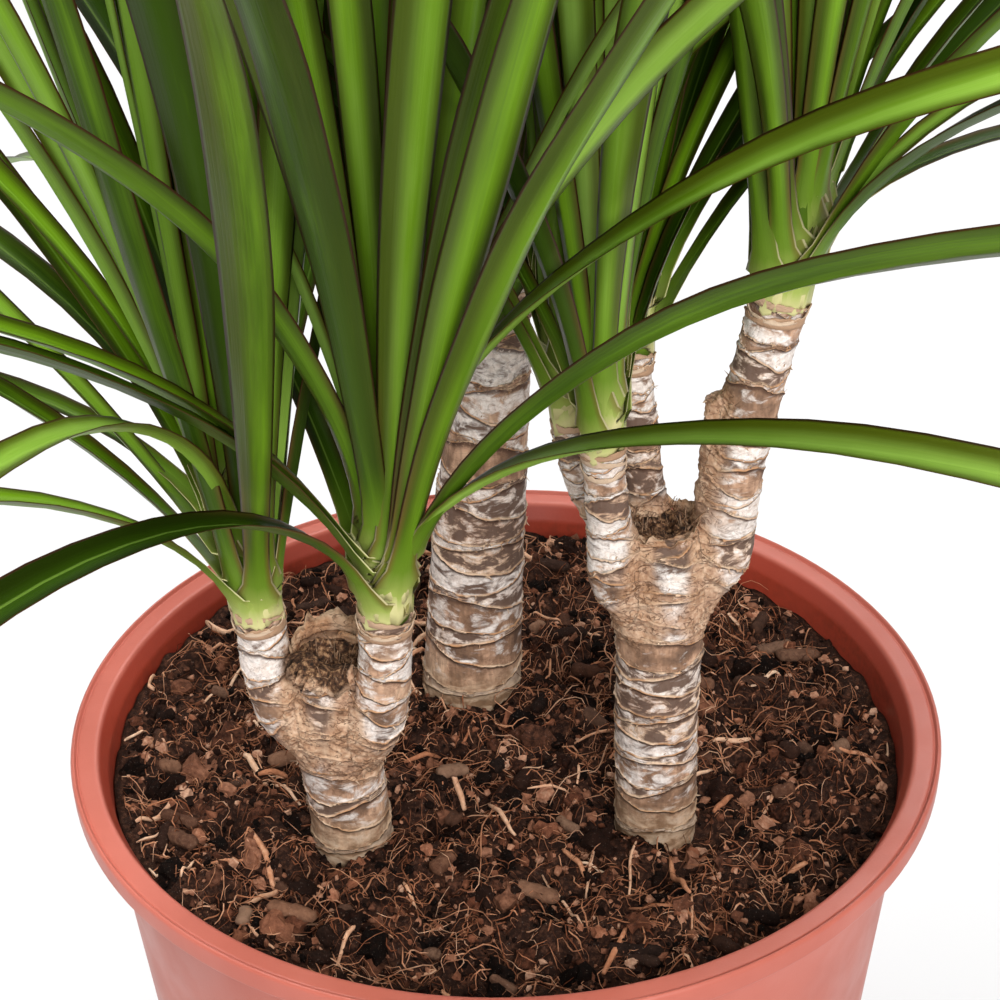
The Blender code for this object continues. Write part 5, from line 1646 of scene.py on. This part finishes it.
class DRACAENA_OT_stage(bpy.types.Operator):
    """Lay the pale floor, set the lights, the surround and the camera"""
    bl_idname = "dracaena.stage"
    bl_label = "Studio and camera"

    def execute(self, context):
        settings = context.scene.dracaena_stage
        floor_made = Finish("floor", 0.85, 0.2)
        floor_made.colour(tuple(settings.floor))
        floor_made.shader.inputs["Emission Color"].default_value = (1.0, 1.0, 1.0, 1.0)
        floor_made.shader.inputs["Emission Strength"].default_value = settings.glow
        turn = even_turn(FLOOR_SIDES)
        skin = Skin()
        rim = rows_of(FLOOR_RADIUS * np.cos(turn), FLOOR_RADIUS * np.sin(turn), 0.0)
        skin.add(np.concatenate([rim, [[0, 0, 0]]]), fan(np.arange(FLOOR_SIDES), FLOOR_SIDES, False),
                 (0, 0, 0, 1))
        skin.make("floor", floor_made.material, "floor_value")
        world = bpy.data.worlds.new("surround")
        world.use_nodes = True
        sky = world.node_tree.nodes["Background"]
        sky.inputs["Color"].default_value = (1.0, 1.0, 1.0, 1.0)
        seen = world.node_tree.nodes.new("ShaderNodeLightPath").outputs["Is Camera Ray"]
        level = world.node_tree.nodes.new("ShaderNodeMapRange")
        level.inputs["To Min"].default_value, level.inputs["To Max"].default_value = settings.sky, BACKDROP
        world.node_tree.links.new(seen, level.inputs["Value"])
        world.node_tree.links.new(level.outputs["Result"], sky.inputs["Strength"])
        context.scene.world = world
        for (name, spot, size), power in zip(LAMPS, (settings.key, settings.fill, settings.back)):
            lamp = bpy.data.lights.new(name, "AREA")
            lamp.shape, lamp.size, lamp.energy = "DISK", size, power
            made = bpy.data.objects.new(name, lamp)
            made.matrix_world = aimed(spot, AIM)
            context.scene.collection.objects.link(made)
        lens = bpy.data.cameras.new("camera")
        lens.lens, lens.sensor_width = LENS, SENSOR
        lens.clip_start, lens.clip_end = 0.02, 20.0
        camera = bpy.data.objects.new("camera", lens)
        camera.matrix_world = (Matrix.Translation(CAMERA_SPOT)
                               @ Matrix.Rotation(math.radians(90 - CAMERA_DOWN), 4, "X")
                               @ Matrix.Rotation(math.radians(CAMERA_ROLL), 4, "Z"))
        context.scene.collection.objects.link(camera)
        context.scene.camera = camera
        context.scene.view_settings.view_transform = "Standard"
        return {"FINISHED"}


class DRACAENA_OT_pot(bpy.types.Operator):
    """Turn the nursery pot with its rim, skirt, step and drain holes"""
    bl_idname = "dracaena.pot"
    bl_label = "Pot"

    def execute(self, context):
        # The grime attribute carries the soil dust and the painted shade of the inside wall
        pot = pot_skin().make("nursery_pot", plastic_finish(context.scene.dracaena_pot), "grime")
        drill(pot)
        pot.data.set_sharp_from_angle(angle=math.radians(40))
        place(pot, "pot", "pot")
        return {"FINISHED"}


class DRACAENA_OT_soil(bpy.types.Operator):
    """Fill the pot with soil and strew its crumbs, fibres, twigs and bark chips"""
    bl_idname = "dracaena.soil"
    bl_label = "Soil"

    def execute(self, context):
        settings = context.scene.dracaena_soil
        place(soil_skin().make("soil_bed", earth_finish("soil", settings, PEAT), "grain"), "soil", "soil")
        crumbs = Skin()
        for count, levels, sizes, sink, seed, clear in (
                (settings.crumbs, 1, (0.0006, 0.0020), 0.25, 12, 0.0005),
                (settings.clods, 2, (0.0018, 0.0038), 0.05, 13, 0.003),
                (settings.clods // 3, 2, (0.0036, 0.0062), -0.20, 18, 0.006)):
            scatter_lumps(crumbs, count, levels, sizes, sink, seed, clear)
        lumps = crumbs.make("soil_crumbs", earth_finish("crumbs", settings, PEAT), "grain", False)
        place(lumps, "soil")
        fibres = Skin()
        for count, lengths, radii, arch, curl, stations, sides, seed, tones in (
                (settings.fibres, (0.006, 0.024), (0.00010, 0.00026), 0.0034, 2.6, 8, 3, 14, (0.10, 0.80)),
                (settings.shreds, (0.0025, 0.008), (0.00010, 0.00034), 0.0026, 1.6, 5, 3, 17, (0.0, 0.70)),
                (settings.twigs, (0.008, 0.026), (0.0004, 0.0010), 0.0022, 0.35, 8, 7, 15, (0.45, 1.0))):
            scatter_fibres(fibres, count, lengths, radii, arch, curl, stations, sides, seed, tones)
        place(fibres.make("soil_fibres", earth_finish("fibres", settings, COIR), "grain"), "soil")
        chips = Skin()
        scatter_chips(chips, settings.chips, 16)
        place(chips.make("soil_chips", earth_finish("chips", settings, CHIP), "grain"), "soil")
        return {"FINISHED"}


class DRACAENA_OT_canes(bpy.types.Operator):
    """Grow the three canes with their stems, scars, cut tops and papery shreds"""
    bl_idname = "dracaena.canes"
    bl_label = "Canes"

    def execute(self, context):
        settings = context.scene.dracaena_bark
        finish = bark_finish(settings)
        for number, (name, (_, heads)) in enumerate(CANE_STEMS.items()):
            cup = CUPS.get(name)
            limbs, root = cane_limbs(name)
            skin, points, triangles, line, low = bark_skin(limbs, root, cup, settings.cell)
            add_flakes(skin, points, triangles, line, low, settings.flakes, 40 + number)
            if cup:
                add_ragged_hairs(skin, cup, HAIR_COUNT, 50 + number)
                foot, radius, rough, rows = CUP_WALLS[name]
                add_torn_wall(skin, np.array(foot), np.array([0.0, 0.0, 1.0]), radius, 5, rows, rough,
                              lean=0.0011, kind=0.95)
            for head in heads or ("back",):
                turn = math.radians(SPIRAL_STEP * len(head))
                add_torn_wall(skin, np.array(HEADS[head][0]), head_axis(head), HEADS[head][2], len(head),
                              [(base, rise, tip, turn + step) for base, rise, tip, step in COLLARS],
                              rough=0.0007, lean=0.0003, kind=-0.8)
            place(skin.make("bark_" + name, finish, "bark"), "bark", name)
        return {"FINISHED"}


class DRACAENA_OT_leaves(bpy.types.Operator):
    """Settle every blade clear of the rest and give each its clasping base, trough and point"""
    bl_idname = "dracaena.leaves"
    bl_label = "Leafy heads"

    def execute(self, context):
        finish = leaf_finish(context.scene.dracaena_leaf)
        for head, blades in lay_out_blades().items():
            skin = Skin()
            add_shoot(skin, head)
            draw = random.Random("tone " + head)
            for blade, line, width in blades:
                age = 1 - (blade[0] - FIRST_BLADE) / (LAST_BLADE - FIRST_BLADE)
                tone = HEAD_TONE[head] - 0.26 * age + draw.uniform(-0.30, 0.30)
                add_blade(skin, head, blade, line, width, min(max(tone, 0.05), 0.95))
            place(skin.make("leaves_" + head, finish, "blade"), "leaf", "crown_" + head)
        return {"FINISHED"}


class DRACAENA_PT_panel(bpy.types.Panel):
    """The steps in order, with their settings"""
    bl_idname = "DRACAENA_PT_panel"
    bl_label = "Potted dracaena"
    bl_space_type = "VIEW_3D"
    bl_region_type = "UI"
    bl_category = "Dracaena"

    def draw(self, context):
        for operator, group in STEPS:
            box = self.layout.box()
            box.operator(operator.bl_idname)
            settings = getattr(context.scene, group)
            for name in settings.__annotations__:
                box.prop(settings, name)


SETTINGS = {
    "dracaena_stage": DracaenaStageSettings, "dracaena_pot": DracaenaPotSettings,
    "dracaena_soil": DracaenaSoilSettings, "dracaena_bark": DracaenaBarkSettings,
    "dracaena_leaf": DracaenaLeafSettings,
}
STEPS = (
    (DRACAENA_OT_stage, "dracaena_stage"), (DRACAENA_OT_pot, "dracaena_pot"),
    (DRACAENA_OT_soil, "dracaena_soil"), (DRACAENA_OT_canes, "dracaena_bark"),
    (DRACAENA_OT_leaves, "dracaena_leaf"),
)


def register():
    """Make the settings, operators and panel known."""
    for name, group in SETTINGS.items():
        bpy.utils.register_class(group)
        setattr(bpy.types.Scene, name, bpy.props.PointerProperty(type=group))
    for operator, _ in STEPS:
        bpy.utils.register_class(operator)
    bpy.utils.register_class(DRACAENA_PT_panel)


def unregister():
    """Take them out again."""
    bpy.utils.unregister_class(DRACAENA_PT_panel)
    for operator, _ in reversed(STEPS):
        bpy.utils.unregister_class(operator)
    for name, group in reversed(SETTINGS.items()):
        delattr(bpy.types.Scene, name)
        bpy.utils.unregister_class(group)


def main():
    """Build the plant step by step."""
    register()
    bpy.ops.dracaena.stage()
    bpy.ops.dracaena.pot()
    bpy.ops.dracaena.soil()
    bpy.ops.dracaena.canes()
    bpy.ops.dracaena.leaves()


if __name__ == "__main__":
    main()
